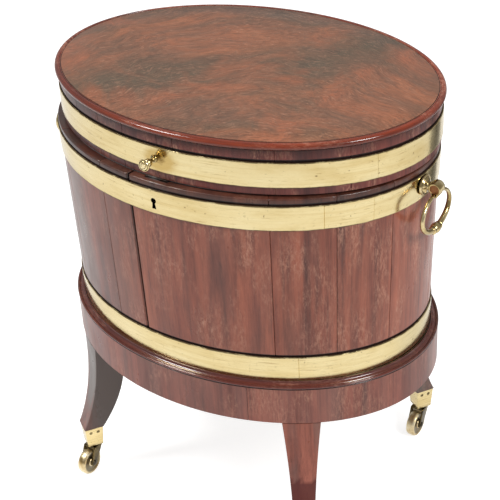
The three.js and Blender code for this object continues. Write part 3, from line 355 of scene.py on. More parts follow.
class Shader:
    """One material's node tree, with a short call for each kind of node."""

    def __init__(self, name):
        self.material = bpy.data.materials.new(name)
        self.material.use_nodes = True
        self.tree = self.material.node_tree
        self.tree.nodes.clear()
        self.place = self.node("ShaderNodeTexCoord").outputs["Object"]

    def node(self, kind, settings=None, **values):
        made = self.tree.nodes.new(kind)
        for name, value in (settings or {}).items():
            setattr(made, name, value)
        for name, value in values.items():
            self.put(made.inputs[name.replace("_", " ")], value)
        return made

    def put(self, socket, value):
        """Links or sets a socket; a colour is given as red, green and blue."""
        if isinstance(value, bpy.types.NodeSocket):
            self.tree.links.new(value, socket)
        elif value is not None:
            socket.default_value = (*value, 1) if socket.type == "RGBA" else value

    def attribute(self, name, output="Vector"):
        return self.node("ShaderNodeAttribute", {"attribute_name": name}).outputs[output]

    def stretch(self, vector, scale, turn=(0, 0, 0), shift=(0, 0, 0)):
        made = self.node("ShaderNodeMapping", None, Vector=vector, Scale=scale, Rotation=turn, Location=shift)
        return made.outputs[0]

    def noise(self, vector, scale, detail=4, roughness=0.5, distortion=0, tone=None, shift=(0, 0, 0)):
        """Noise on a stretched vector, another pattern for each tone."""
        settings = {"noise_dimensions": "3D" if tone is None else "4D"}
        made = self.node("ShaderNodeTexNoise", settings, Vector=self.stretch(vector, scale, shift=shift),
                         Scale=1.0, Detail=detail, Roughness=roughness, Distortion=distortion)
        if tone is not None:
            self.put(made.inputs["W"], tone)
        return made.outputs[0]

    def warp(self, vector, scale, amount):
        made = self.node("ShaderNodeTexNoise", None, Vector=vector, Scale=scale, Detail=2)
        centred = self.vector_math("SUBTRACT", made.outputs[1], (0.5, 0.5, 0.5))
        return self.vector_math("ADD", vector, self.vector_math("MULTIPLY", centred, (amount,) * 3))

    def bend(self, vector, amount):
        """Bow the lines along x into arcs."""
        x, y, z = self.node("ShaderNodeSeparateXYZ", None, Vector=vector).outputs
        bowed = self.math("ADD", y, self.math("MULTIPLY", self.math("MULTIPLY", x, x), amount))
        return self.node("ShaderNodeCombineXYZ", None, X=x, Y=bowed, Z=z).outputs[0]

    def calculate(self, kind, settings, a, b):
        made = self.node(kind, settings)
        self.put(made.inputs[0], a)
        self.put(made.inputs[1], b)
        return made.outputs[0]

    def vector_math(self, operation, a, b):
        return self.calculate("ShaderNodeVectorMath", {"operation": operation}, a, b)

    def math(self, operation, a, b=None, clamp=False):
        return self.calculate("ShaderNodeMath", {"operation": operation, "use_clamp": clamp}, a, b)

    def spread(self, value, low, high, to_low=0.0, to_high=1.0):
        limits = {"From_Min": low, "From_Max": high, "To_Min": to_low, "To_Max": to_high}
        return self.node("ShaderNodeMapRange", None, Value=value, **limits).outputs[0]

    def ramp(self, value, stops):
        made = self.node("ShaderNodeValToRGB", None, Fac=value)
        elements = made.color_ramp.elements
        while len(elements) < len(stops):
            elements.new(0.5)
        for element, (place, color) in zip(elements, stops):
            element.position = place
            element.color = (*color, 1)
        return made.outputs[0]

    def mix(self, factor, a, b):
        made = self.node("ShaderNodeMix", {"data_type": "RGBA"})
        for place, value in ((0, factor), (6, a), (7, b)):
            self.put(made.inputs[place], value)
        return made.outputs[2]

    def tint(self, color, mask, low, high, strength, tint):
        """Lays a tint over a colour, more of it as the mask goes from low to high."""
        return self.mix(self.spread(mask, low, high, 0, strength), color, tint)

    def bump(self, height, strength, distance):
        made = self.node("ShaderNodeBump", None, Height=height, Strength=strength, Distance=distance)
        return made.outputs[0]

    def surface(self, **values):
        return self.show(self.node("ShaderNodeBsdfPrincipled", None, **values))

    def show(self, shader):
        self.node("ShaderNodeOutputMaterial", None, Surface=shader.outputs[0])
        return self.material


def scaled(color, gain, most=1.0):
    return tuple(min(most, gain * part) for part in color)


def wood_grain(shader, vector, tone, dark, middle, light):
    """Ribbon colour and fine fibres for wood whose grain runs along the vector's z."""
    ribbons = shader.noise(vector, (26, 26, 1.1), 4, 0.62, 0.2, tone)
    color = shader.ramp(ribbons, [(0.37, dark), (0.495, middle), (0.61, light)])
    clouds = shader.noise(vector, (11, 11, 3.6), 4, 0.62, 0.3, tone)
    color = shader.tint(color, clouds, 0.5, 0.7, 0.55, dark)
    fibres = shader.noise(vector, (430, 430, 11), 3, 0.65, 0, tone)
    color = shader.tint(color, fibres, 0.45, 0.72, 0.5, scaled(dark, 0.5))
    lines = shader.noise(vector, (190, 190, 2.6), 4, 0.66, 0, tone)
    color = shader.tint(color, lines, 0.5, 0.68, 0.55, scaled(dark, 0.5))
    pores = shader.noise(vector, (1300, 1300, 90), 2, 0.5, 0, tone)
    color = shader.tint(color, pores, 0.58, 0.7, 0.45, scaled(dark, 0.35))
    return color, fibres, pores


def mahogany(name, dark, middle, light, grey, grey_share, rough=0.3, coat=0.25, specular=0.3,
             dirt_and_shade=(0.008, 0.005, 0.004)):
    """Polished wood: embers and worn flecks where it is warm, grey where it is cool (partly painted sheen),
    and dirt and painted shade in its grime.
    """
    shader = Shader(name)
    vector = shader.attribute("around")
    tone, warmth_and_sheen, grime_and_shade = (shader.attribute(kind, "Fac") for kind in ("tone", "warmth_and_sheen", "grime_and_shade"))
    color, fibres, pores = wood_grain(shader, vector, tone, dark, middle, light)

    embers = shader.noise(vector, (58, 58, 5), 5, 0.72, 0.25, tone)
    glow = shader.math("MULTIPLY", shader.spread(embers, 0.40, 0.68, 0.05, 0.9), warmth_and_sheen, clamp=True)
    color = shader.mix(glow, color, scaled(light, 1.35))

    # Grey where the wood is cool, so greyer towards the left end: partly painted sheen
    grey_noise = shader.noise(vector, (19, 19, 1.9), 4, 0.6, 0.3, shader.math("ADD", tone, 3.7))
    coolness_and_sheen = shader.math("SUBTRACT", 1.15, warmth_and_sheen)
    patchy_grey = shader.math("MULTIPLY", shader.spread(grey_noise, 0.44, 0.64, 0, grey_share), coolness_and_sheen, clamp=True)
    even = shader.math("MULTIPLY", shader.math("SUBTRACT", 0.35, warmth_and_sheen), 1.2, clamp=True)
    color = shader.mix(shader.math("ADD", patchy_grey, even, clamp=True), color, grey)

    patches = shader.noise(vector, (24, 24, 9), 4, 0.6, 0.4, tone)
    flecks = shader.noise(vector, (330, 330, 90), 5, 0.8, 0.5, tone)
    marked = shader.math("MULTIPLY", shader.spread(flecks, 0.46, 0.64), shader.spread(patches, 0.47, 0.6))
    marked = shader.math("MULTIPLY", marked, shader.math("MULTIPLY", warmth_and_sheen, 0.8), clamp=True)
    color = shader.mix(marked, color, (0.50, 0.25, 0.165))
    color = shader.mix(grime_and_shade, color, dirt_and_shade)

    smears = shader.noise(vector, (30, 30, 12), 4, 0.6)
    height = shader.math("ADD", shader.math("MULTIPLY", fibres, 0.5), shader.math("MULTIPLY", pores, -0.5))
    return shader.surface(
        Base_Color=color,
        Roughness=shader.spread(smears, 0.3, 0.7, rough - 0.05, rough + 0.12),
        Normal=shader.bump(height, 0.14, 0.0004),
        Coat_Weight=coat,
        Coat_Roughness=0.1,
        Specular_IOR_Level=specular,
    )


def flame_mahogany():
    """The lid's crotch figure: fans of bent fibres, with dark plumes and red embers across them."""
    shader = Shader("lid_flame_mahogany")
    place = shader.warp(shader.warp(shader.place, 3.2, 0.16), 11.0, 0.045)
    turned = shader.bend(shader.stretch(place, (1, 1, 1), (0, 0, FAN_ANGLE * DEGREE)), 1.9)
    figure = shader.noise(turned, (7.0, 13, 1), 6, 0.68, 0.5)
    color = shader.ramp(figure, [
        (0.30, (0.085, 0.052, 0.034)), (0.42, (0.130, 0.067, 0.042)), (0.52, (0.175, 0.076, 0.044)),
        (0.62, (0.235, 0.088, 0.045)), (0.74, (0.30, 0.118, 0.060)),
    ])
    streaks = shader.noise(turned, (4.2, 8, 1), 5, 0.62, 0.8, shift=(3, 1, 0))
    color = shader.tint(color, streaks, 0.52, 0.66, 0.5, (0.080, 0.062, 0.040))

    spine = shader.stretch(shader.warp(place, 9.0, 0.07), (1, 1, 1), (0, 0, -PLUME_ANGLE * DEGREE))
    off_spine = shader.node("ShaderNodeSeparateXYZ", None, Vector=spine).outputs[1]
    plume = shader.spread(shader.math("ABSOLUTE", off_spine), 0.0, PLUME_HALF_WIDTH, 0.8, 0.0)
    color = shader.mix(plume, color, (0.072, 0.060, 0.040))
    embers = shader.noise(place, (7, 8, 1), 4, 0.6, 0.4, shift=(8, 4, 0))
    color = shader.tint(color, embers, 0.52, 0.70, 0.6, (0.33, 0.095, 0.042))

    swirl = shader.warp(shader.warp(turned, 20.0, 0.022), 55.0, 0.007)
    fibres = shader.noise(swirl, (75, 460, 1), 4, 0.72, 0.5)
    color = shader.tint(color, fibres, 0.44, 0.66, 0.62, (0.058, 0.028, 0.018))
    curls = shader.noise(swirl, (120, 55, 1), 4, 0.7, 0.8, shift=(2, 7, 0))
    color = shader.tint(color, curls, 0.52, 0.72, 0.45, (0.075, 0.046, 0.032))
    glints = shader.noise(swirl, (95, 560, 1), 4, 0.74, 0.4, shift=(5, 9, 0))
    color = shader.tint(color, glints, 0.53, 0.72, 0.58, (0.42, 0.215, 0.135))
    specks = shader.noise(shader.place, (330, 330, 1), 3, 0.7)
    color = shader.tint(color, specks, 0.72, 0.77, 0.6, (0.5, 0.4, 0.33))
    color = shader.mix(shader.attribute("grime_and_shade", "Fac"), color, (0.012, 0.007, 0.006))

    smears = shader.noise(shader.place, (9, 9, 9), 5, 0.65)
    return shader.surface(
        Base_Color=color,
        Roughness=shader.spread(smears, 0.3, 0.7, 0.34, 0.5),
        Normal=shader.bump(fibres, 0.1, 0.0003),
        Coat_Weight=0.22,
        Coat_Roughness=0.18,
        Specular_IOR_Level=0.22,
    )


def scratched(shader, vector, color):
    """Fine scratches along the strip, a few deeper ones across it, and pits."""
    lines = shader.noise(vector, (12, 60, 900), 4, 0.65)
    color = shader.tint(color, lines, 0.56, 0.74, 0.4, (0.42, 0.30, 0.12))
    haze = shader.noise(vector, (5, 5, 160), 3, 0.6)
    color = shader.tint(color, haze, 0.5, 0.7, 0.5, (0.56, 0.42, 0.18))
    rubs = shader.noise(vector, (26, 40, 420), 5, 0.75)
    color = shader.tint(color, rubs, 0.59, 0.66, 0.64, (0.34, 0.225, 0.085))
    nicks = shader.noise(vector, (420, 60, 70), 3, 0.7)
    color = shader.tint(color, nicks, 0.66, 0.73, 0.48, (0.36, 0.25, 0.10))
    spots = shader.noise(vector, (150, 150, 190), 5, 0.75)
    color = shader.tint(color, spots, 0.635, 0.67, 0.85, (0.13, 0.08, 0.03))
    return color, lines


def band_brass(name="band_brass", tarnish=0.45, gain=1.0):
    """Sheet brass with scratches and tarnish; grime lies on its edges, along the top edge as dirt and painted
    shade, and a stain with a painted shadow where one is written.
    """
    shader = Shader(name)
    vector = shader.attribute("around")
    clouds = shader.noise(vector, (9, 9, 22), 5, 0.6)
    shades = ((0.3, (0.58, 0.445, 0.20)), (0.5, (0.69, 0.565, 0.30)), (0.7, (0.74, 0.63, 0.365)))
    color = shader.ramp(clouds, [(place, scaled(shade, gain, 0.97)) for place, shade in shades])
    color, lines = scratched(shader, vector, color)
    stains = shader.noise(vector, (13, 13, 34), 5, 0.7)
    color = shader.tint(color, stains, 0.58, 0.76, tarnish, (0.52, 0.38, 0.15))

    edge = shader.noise(vector, (50, 50, 260), 4, 0.72)
    # Dark edges: dirt, and along the top edge painted shade that hides the lamp's highlight; they are also
    # less metallic and rougher
    grime_and_shade = shader.attribute("grime_and_shade", "Fac")
    marked = shader.math("MULTIPLY", grime_and_shade, shader.spread(edge, 0.40, 0.62, 0.55, 2.0), clamp=True)
    color = shader.mix(marked, color, (0.09, 0.06, 0.026))
    # The stain round the knob: tarnish, and a painted shadow of the knob to its right
    stain_and_shadow = shader.attribute("stain_and_shadow", "Fac")
    patchy = shader.math("MULTIPLY", stain_and_shadow, shader.spread(stains, 0.35, 0.6, 0.75, 1.25))
    color = shader.tint(color, patchy, 0.0, 0.35, 0.75, (0.46, 0.30, 0.085))
    color = shader.tint(color, patchy, 0.6, 0.85, 0.9, (0.20, 0.12, 0.035))

    height = shader.math("ADD", lines, shader.math("MULTIPLY", clouds, 2.0))
    rough = shader.spread(clouds, 0.3, 0.7, 0.12, 0.22)
    return shader.surface(
        Base_Color=color,
        Metallic=shader.math("SUBTRACT", 1.0, marked),
        Specular_IOR_Level=0.1,
        Roughness=shader.math("ADD", rough, shader.math("MULTIPLY", marked, 0.5)),
        Normal=shader.bump(height, 0.1, 0.0005),
    )


def clouded(name, size, detail, roughness):
    """A shader with clouds that are the same in all directions."""
    shader = Shader(name)
    return shader, shader.noise(shader.place, (size,) * 3, detail, roughness)


def cast_brass(name, dark, middle, light, rough):
    shader, clouds = clouded(name, 48, 5, 0.62)
    color = shader.ramp(clouds, [(0.33, dark), (0.5, middle), (0.66, light)])
    spots = shader.noise(shader.place, (420, 420, 420), 3, 0.65)
    color = shader.tint(color, spots, 0.64, 0.76, 0.6, scaled(dark, 0.5))
    color = shader.mix(shader.attribute("grime_and_shade", "Fac"), color, (0.03, 0.018, 0.008))
    return shader.surface(
        Base_Color=color,
        Metallic=1.0,
        Roughness=shader.spread(clouds, 0.3, 0.7, rough, rough + 0.14),
        Normal=shader.bump(spots, 0.06, 0.0004),
    )


def plain_wood():
    shader = Shader("raw_deal")
    rings = shader.noise(shader.place, (55, 2.5, 55), 4, 0.6, 1.2)
    stops = [(0.3, (0.26, 0.16, 0.085)), (0.55, (0.42, 0.28, 0.15)), (0.7, (0.5, 0.35, 0.2))]
    fibres = shader.noise(shader.place, (500, 12, 500), 3, 0.6)
    color = shader.tint(shader.ramp(rings, stops), fibres, 0.5, 0.75, 0.5, (0.16, 0.095, 0.05))
    return shader.surface(Base_Color=color, Roughness=0.75, Normal=shader.bump(fibres, 0.35, 0.0006))


def lead():
    shader, clouds = clouded("sheet_lead", 14, 5, 0.65)
    stops = [(0.3, (0.17, 0.175, 0.18)), (0.55, (0.3, 0.305, 0.31)), (0.72, (0.45, 0.45, 0.44))]
    color = shader.ramp(clouds, stops)
    dents = shader.noise(shader.place, (38, 38, 38), 3, 0.5)
    rough = shader.spread(clouds, 0.3, 0.7, 0.42, 0.68)
    return shader.surface(Base_Color=color, Metallic=0.85, Roughness=rough,
                          Normal=shader.bump(dents, 0.5, 0.002))


def steel():
    shader, clouds = clouded("aged_steel", 90, 4, 0.6)
    stops = [(0.35, (0.16, 0.12, 0.09)), (0.5, (0.33, 0.31, 0.29)), (0.7, (0.5, 0.49, 0.47))]
    color = shader.ramp(clouds, stops)
    rough = shader.spread(clouds, 0.3, 0.7, 0.3, 0.55)
    return shader.surface(Base_Color=color, Metallic=1.0, Roughness=rough,
                          Normal=shader.bump(clouds, 0.2, 0.0006))


# Woods: dark, middle, light and grey colour, share of grey, roughness, coat, specular level, colour of dirt
# and painted shade. The grey is partly painted sheen.
# Cast metals: dark, middle and light colour, roughness
FINISH = {
    "stave": mahogany("stave_mahogany", (0.085, 0.022, 0.015), (0.185, 0.046, 0.027), (0.30, 0.088, 0.048),
                      (0.135, 0.074, 0.060), 0.66),
    "apron": mahogany("apron_mahogany", (0.110, 0.037, 0.029), (0.205, 0.066, 0.048), (0.285, 0.092, 0.062),
                      (0.155, 0.100, 0.088), 0.75, 0.3, 0.18, 0.24),
    "side": mahogany("lid_side_mahogany", (0.050, 0.022, 0.022), (0.100, 0.033, 0.029), (0.17, 0.044, 0.033),
                     (0.085, 0.058, 0.060), 1.0, 0.28, 0.1, 0.16),
    "rim": mahogany("rim_mahogany", (0.040, 0.010, 0.008), (0.095, 0.017, 0.011), (0.17, 0.030, 0.016),
                    (0.05, 0.028, 0.024), 0.3, 0.16, 0.6, 0.3),
    "bead": mahogany("bead_mahogany", (0.035, 0.008, 0.005), (0.10, 0.015, 0.007), (0.19, 0.031, 0.011),
                     (0.07, 0.035, 0.028), 0.3, 0.16, 0.45, 0.2),
    "leg": mahogany("leg_mahogany", (0.15, 0.046, 0.034), (0.25, 0.076, 0.051), (0.34, 0.110, 0.071),
                    (0.135, 0.104, 0.092), 1.5, 0.3, 0.12, 0.22, (0.075, 0.010, 0.008)),
    "flame": flame_mahogany(),
    "band": band_brass(),
    "cap": band_brass("cap_brass", 0.25, 1.32),
    "brass": cast_brass("cast_brass", (0.33, 0.235, 0.095), (0.53, 0.41, 0.20), (0.76, 0.64, 0.39), 0.12),
    "dark_brass": cast_brass("dark_brass", (0.06, 0.045, 0.025), (0.16, 0.12, 0.055), (0.34, 0.26, 0.12),
                             0.22),
    "copper": cast_brass("coppery_brass", (0.13, 0.055, 0.028), (0.27, 0.12, 0.05), (0.42, 0.24, 0.10), 0.3),
    "wheel": cast_brass("wheel_brass", (0.46, 0.31, 0.13), (0.82, 0.67, 0.40), (0.95, 0.88, 0.68), 0.28),
    "knob": cast_brass("knob_brass", (0.46, 0.34, 0.14), (0.70, 0.56, 0.29), (0.86, 0.76, 0.48), 0.2),
    # Near-black finish of the keyhole's sleeve: painted shade inside the hole
    "keyhole_shade": cast_brass("keyhole_painted_shade", (0.008, 0.007, 0.006), (0.015, 0.013, 0.011), (0.03, 0.026, 0.022),
                        0.5),
    "dark_steel": cast_brass("dark_axle", (0.035, 0.028, 0.02), (0.09, 0.075, 0.055), (0.2, 0.17, 0.12),
                             0.28),
    "deal": plain_wood(),
    "lead": lead(),
    "steel": steel(),
}


# Mesh helpers

def link_object(name, data):
    made = bpy.data.objects.new(name, data)
    bpy.context.scene.collection.objects.link(made)
    return made


def add_piece(mesh, finish, body, slot, *nodes):
    """Makes a piece that is named as its mesh, rides on a body and replaces the nodes."""
    piece = link_object(mesh.name, mesh)
    mesh.materials.append(FINISH[finish])
    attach(piece, body)
    if nodes:
        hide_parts(*nodes)
    return piece


def mark_edges(mesh, limit=32 * DEGREE):
    """Turns the faces outwards and shades them smooth, with sharp edges where they fold."""
    work = bmesh.new()
    work.from_mesh(mesh)
    bmesh.ops.recalc_face_normals(work, faces=work.faces)
    for face in work.faces:
        face.smooth = True
    for edge in work.edges:
        edge.smooth = len(edge.link_faces) == 2 and edge.calc_face_angle(0) < limit
    work.to_mesh(mesh)
    work.free()


def mesh_from(name, points, faces):
    mesh = bpy.data.meshes.new(name)
    mesh.from_pydata([tuple(point) for point in points], [], faces)
    mark_edges(mesh)
    return mesh


def loft_mesh(name, rings, closed=False):
    """Joins rings of points into a skin, closed at both ends unless the rings go all the way round."""
    count = len(rings[0])
    points = [point for ring in rings for point in ring]
    faces = []
    for r in range(len(rings) if closed else len(rings) - 1):
        here = r * count
        there = ((r + 1) % len(rings)) * count
        for i in range(count):
            j = (i + 1) % count
            faces.append((here + i, here + j, there + j, there + i))
    if not closed:
        faces.append(tuple(range(count - 1, -1, -1)))
        faces.append(tuple(range(len(points) - count, len(points))))
    return mesh_from(name, points, faces)


def lathe_mesh(name, profile, axis, origin, steps=ROUND_STEPS):
    """Turns (radius, height) points, from axis to axis, about an axis through the origin."""
    turn = Vector((0, 0, 1)).rotation_difference(Vector(axis)).to_matrix()
    points, faces, rows = [], [], []
    for radius, height in profile:
        count = steps if radius else 1
        rows.append(range(len(points), len(points) + count))
        for k in range(count):
            angle = TURN * k / steps
            spot = Vector((radius * math.cos(angle), radius * math.sin(angle), height))
            points.append(Vector(origin) + turn @ spot)
    for low, high in zip(rows, rows[1:]):
        for k in range(steps):
            j = (k + 1) % steps
            corners = [low[k % len(low)], low[j % len(low)], high[j % len(high)], high[k % len(high)]]
            corners = list(dict.fromkeys(corners))
            if len(corners) > 2:
                faces.append(tuple(corners))
    return mesh_from(name, points, faces)


def prism_mesh(name, outline, start, end):
    """Pushes an outline of (y, z) points along x."""
    return loft_mesh(name, [[Vector((x, y, z)) for y, z in outline] for x in (start, end)])


def block_mesh(name, low, high):
    """A plain block between two corners, for cutting."""
    outline = [(low.y, low.z), (high.y, low.z), (high.y, high.z), (low.y, high.z)]
    return prism_mesh(name, outline, low.x, high.x)


def apply_modifiers(piece):
    view = bpy.context.evaluated_depsgraph_get()
    mesh = bpy.data.meshes.new_from_object(piece.evaluated_get(view))
    piece.modifiers.clear()
    piece.data = mesh


def combine(piece, meshes, operation="DIFFERENCE"):
    """Cuts meshes out of a piece, or joins them to it, for good."""
    for mesh in meshes:
        other = link_object("other", mesh)
        change = piece.modifiers.new("change", "BOOLEAN")
        change.operation = operation
        change.object = other
        change.solver = "EXACT"
        apply_modifiers(piece)
        bpy.data.objects.remove(other)
    mark_edges(piece.data)


def ease_edges(piece, width, segments, limit):
    change = piece.modifiers.new("soft_arrises", "BEVEL")
    change.width = width
    change.segments = segments
    change.limit_method = "ANGLE"
    change.angle_limit = limit
    apply_modifiers(piece)
    mark_edges(piece.data)


def outline_of(outline, radius, height, foot=0.0):
    return [(radius * wide, foot + height * high) for wide, high in outline]


def mirrored(half, between=()):
    """A profile and its mirror image in height; a point on the mirror isn't doubled."""
    return half + list(between) + [(radius, -height) for radius, height in reversed(half) if height]


def arc(x, y, radius, start, end, count, height=None):
    """Points along an arc between two angles, or along an ellipse of another height."""
    angles = [(start + (end - start) * k / (count - 1)) * DEGREE for k in range(count)]
    return [(x + radius * math.cos(angle), y + (height or radius) * math.sin(angle)) for angle in angles]


def eased_corners(low_x, high_x, half_width, arris, count):
    """The four rounded corners of a rectangle."""
    low, high, reach = low_x + arris, high_x - arris, half_width - arris
    spots = ((low, -reach, 180), (high, -reach, 270), (high, reach, 0), (low, reach, 90))
    return [arc(x, y, arris, start, start + 90, count) for x, y, start in spots]


def lifted(outline, z):
    return [Vector((x, y, z)) for x, y in outline]


# Values that the shaders read, for each point or corner of a mesh

def arc_lengths(oval):
    lengths = [0.0]
    for i in range(ARC_STEPS):
        here, there = (TURN * k / ARC_STEPS for k in (i, i + 1))
        dx = oval.a * (math.cos(there) - math.cos(here))
        dy = oval.b * (math.sin(there) - math.sin(here))
        lengths.append(lengths[-1] + math.hypot(dx, dy))
    return lengths


def write_value(mesh, name, value):
    """Stores a value for each point: a rule's, or the same all over."""
    layer = mesh.attributes.new(name, "FLOAT", "POINT")
    values = [value(vertex.co) if callable(value) else value for vertex in mesh.vertices]
    layer.data.foreach_set("value", values)


def write_looks(mesh, tone, grime_and_shade, warmth_and_sheen):
    for name, value in (("tone", tone), ("grime_and_shade", grime_and_shade), ("warmth_and_sheen", warmth_and_sheen)):
        write_value(mesh, name, value)


def write_places(mesh, oval, tone=0.0, grime_and_shade=0.0, warmth_and_sheen=0.35, along=False):
    """Stores where each corner lies round the oval, as (way round, depth, height), and its looks.
    The seam of the way round is at the back. The order is turned where the grain goes along the oval."""
    lengths = arc_lengths(oval)

    def way(angle):
        turns, rest = divmod(angle / TURN, 1.0)
        low = int(rest * ARC_STEPS)
        step = lengths[min(low + 1, ARC_STEPS)] - lengths[low]
        return turns * lengths[-1] + lengths[low] + (rest * ARC_STEPS - low) * step

    def turn_of(point):
        east, north = oval_shares(oval, point)
        return (math.atan2(north, east) - math.pi / 2) % TURN

    spots = []
    for face in mesh.polygons:
        middle = turn_of(face.center)
        for index in face.vertices:
            point = mesh.vertices[index].co
            angle = turn_of(point)
            angle -= TURN * round((angle - middle) / TURN)
            depth = (math.hypot(*oval_shares(oval, point)) - 1) * oval.b
            spot = (way(angle), depth, point.z)
            spots.extend(spot[::-1] if along else spot)
    layer = mesh.attributes.new("around", "FLOAT_VECTOR", "CORNER")
    layer.data.foreach_set("vector", spots)
    write_looks(mesh, tone, grime_and_shade, warmth_and_sheen)


def write_own_places(mesh, own_frame, tone=1.0, grime_and_shade=0.0, warmth_and_sheen=0.3):
    """The same values for a piece that isn't an oval, from its places in its own frame."""
    back = own_frame.inverted()
    layer = mesh.attributes.new("around", "FLOAT_VECTOR", "POINT")
    layer.data.foreach_set("vector", [part for vertex in mesh.vertices for part in back @ vertex.co])
    write_looks(mesh, tone, grime_and_shade, warmth_and_sheen)


# Whether a height lies in the sunk line above a band, which is darkened as dirt and painted shade
def in_dirt_and_shade_line(height, band_top):
    return band_top - LINE_DIRT_AND_SHADE_LAP < height < band_top + LINE_WIDTH + LINE_FADE / 2


def near(away, reach):
    """One at no distance, and nothing from the reach onwards."""
    return max(0.0, 1 - away / reach)


# Ovals

def oval_point(oval, offset, degrees, z):
    angle = degrees * DEGREE
    x = oval.x + (oval.a + offset) * math.cos(angle)
    y = oval.y + (oval.b + offset) * math.sin(angle)
    return Vector((x, y, z))


def oval_shares(oval, point):
    """How far a point lies from the middle, as shares of the oval's half width and half depth."""
    return (point.x - oval.x) / oval.a, (point.y - oval.y) / oval.b


def oval_normal(oval, degrees):
    return math.cos(degrees * DEGREE) / oval.a, math.sin(degrees * DEGREE) / oval.b


def oval_speed(oval, degrees):
    """Length along the oval for each radian at an angle."""
    return math.hypot(oval.a * math.sin(degrees * DEGREE), oval.b * math.cos(degrees * DEGREE))


def angle_of(oval, degrees, width):
    """The angle that a width takes up on the oval at some angle."""
    return width / oval_speed(oval, degrees) / DEGREE


def spread_angles(start, end):
    count = max(2, math.ceil((end - start) / OVAL_STEP_ANGLE))
    return [start + (end - start) * i / count for i in range(count + 1)]


def lean(oval, z):
    """How far the side falls in at a height: the body tapers, the lid and the stand are upright."""
    return -TAPER_SHARE * (BODY_HIGH.z - z) if oval is BODY_OVAL else 0.0


def sweep_stretch(name, oval, profile, joints, gaps, arrises):
    """A stretch of ring between two joints; its outer arrises at the joints are eased."""
    start = joints[0] + angle_of(oval, joints[0], gaps[0] / 2)
    end = joints[1] - angle_of(oval, joints[1], gaps[1] / 2)
    stations = [(start, arrises[0]), (start + angle_of(oval, start, arrises[0]), 0)]
    stations += [(angle, 0) for angle in spread_angles(start, end)[1:-1]]
    stations += [(end - angle_of(oval, end, arrises[1]), 0), (end, arrises[1])]
    stations.sort(key=lambda station: station[0])
    rings = []
    for angle, drop in stations:
        ring = []
        for offset, z in profile:
            inside = offset - lean(oval, z) < -STAVE_THICKNESS / 2
            ring.append(oval_point(oval, offset - (0 if inside else drop), angle, z))
        rings.append(ring)
    return loft_mesh(name, rings)


def jointed_ring(name, oval, section, seams=(), width=0.0, depth=0.0):
    """A ring all the way round whose outer points dip at each seam.
    The section, or its rule by angle, holds (offset, height, share of the dip)."""
    stations = [(angle, 0.0) for angle in spread_angles(0, 360)[:-1]]
    for seam in seams:
        seam %= 360
        half = angle_of(oval, seam, width / 2)
        stations = [station for station in stations if abs(station[0] - seam) > 1.2 * half]
        stations += [(seam - half, 0.0), (seam, depth), (seam + half, 0.0)]
    stations.sort(key=lambda station: station[0])
    rings = []
    for angle, dip in stations:
        points = section(angle) if callable(section) else section
        rings.append([oval_point(oval, offset - dip * share, angle, z) for offset, z, share in points])
    return loft_mesh(name, rings, closed=True)


# Keyhole and lock

def keyhole_ring(y, shrink=0.0):
    """The keyhole's outline at a depth, smaller all round by a margin."""
    middle_z = BODY_HIGH.z - KEYHOLE_DROP
    foot_z = middle_z - KEYHOLE_HEIGHT / 2 + shrink
    half = KEYHOLE_FOOT_SHARE * (KEYHOLE_SLOT_WIDTH / 2 - shrink)
    outline = arc(0, middle_z + KEYHOLE_HEIGHT / 2 - KEYHOLE_RADIUS, KEYHOLE_RADIUS - shrink, -60, 240, 25)
    return [Vector((BODY_OVAL.x + x, y, z)) for x, z in outline + [(-half, foot_z), (half, foot_z)]]


def keyhole_blade():
    """A prism in the shape of a keyhole, pushed through from the front."""
    front = BODY_LOW.y - KEYHOLE_CUT_START
    return loft_mesh("keyhole_blade", [keyhole_ring(y) for y in (front, front + KEYHOLE_CUT_LENGTH)])


def make_keyhole_shade_sleeve():
    """A black sleeve in the keyhole, from the band to the lock: painted shade, so that the hole looks dark
    inside.
    """
    front = BODY_LOW.y
    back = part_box("lock_case")[0].y - SEAT_GAP
    rings = [keyhole_ring(y, SLEEVE_CLEARANCE) for y in (front, back)]
    rings += [keyhole_ring(y, SLEEVE_CLEARANCE + SLEEVE_THICKNESS) for y in (back, front)]
    add_piece(loft_mesh("keyhole_shade_sleeve", rings, closed=True), "keyhole_shade", "cooler", "steel")


def lock_pocket():
    """The room for the lock, open towards the inside and the top."""
    low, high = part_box("lock_case")
    foot = low - Vector((SEAT_GAP,) * 3)
    head = Vector((high.x + SEAT_GAP, high.y + STAVE_THICKNESS, BODY_HIGH.z + CUT_MARGIN))
    return block_mesh("lock_pocket", foot, head)


def bolt_mortise():
    """The slot in the lid's foot that the bolt rises into."""
    low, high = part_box("lock_bolt")
    foot = Vector((low.x - BOLT_CLEARANCE, low.y - BOLT_CLEARANCE, LID_SIDE_LOW.z - CUT_MARGIN))
    head = Vector((high.x + BOLT_CLEARANCE, high.y + BOLT_CLEARANCE, LID_SIDE_LOW.z + BOLT_THROW))
    return block_mesh("bolt_mortise", foot, head)


# Body of the cooler

def sunk_line_section(band_top):
    """The sunk line above a band, with points just outside it where the dirt and painted shade end."""
    foot, head = band_top - LINE_LAP, band_top + LINE_WIDTH
    floor_top = band_top + LINE_FLOOR_SHARE * LINE_WIDTH
    section = [(0, foot - LINE_FADE), (0, foot), (-LINE_DEPTH, band_top), (-LINE_DEPTH, floor_top)]
    return section + [(0, head), (0, head + LINE_FADE)]


def stave_profile():
    top, foot = BODY_HIGH.z, BODY_LOW.z
    points = [(0, foot)] + sunk_line_section(LOWER_HIGH.z) + sunk_line_section(UPPER_HIGH.z)
    points += arc(-TOP_EDGE_RADIUS, top - TOP_EDGE_RADIUS, TOP_EDGE_RADIUS, 0, 90, 5)
    points += [(-STAVE_THICKNESS, top), (-STAVE_THICKNESS, foot)]
    return [(offset + lean(BODY_OVAL, z), z) for offset, z in points]


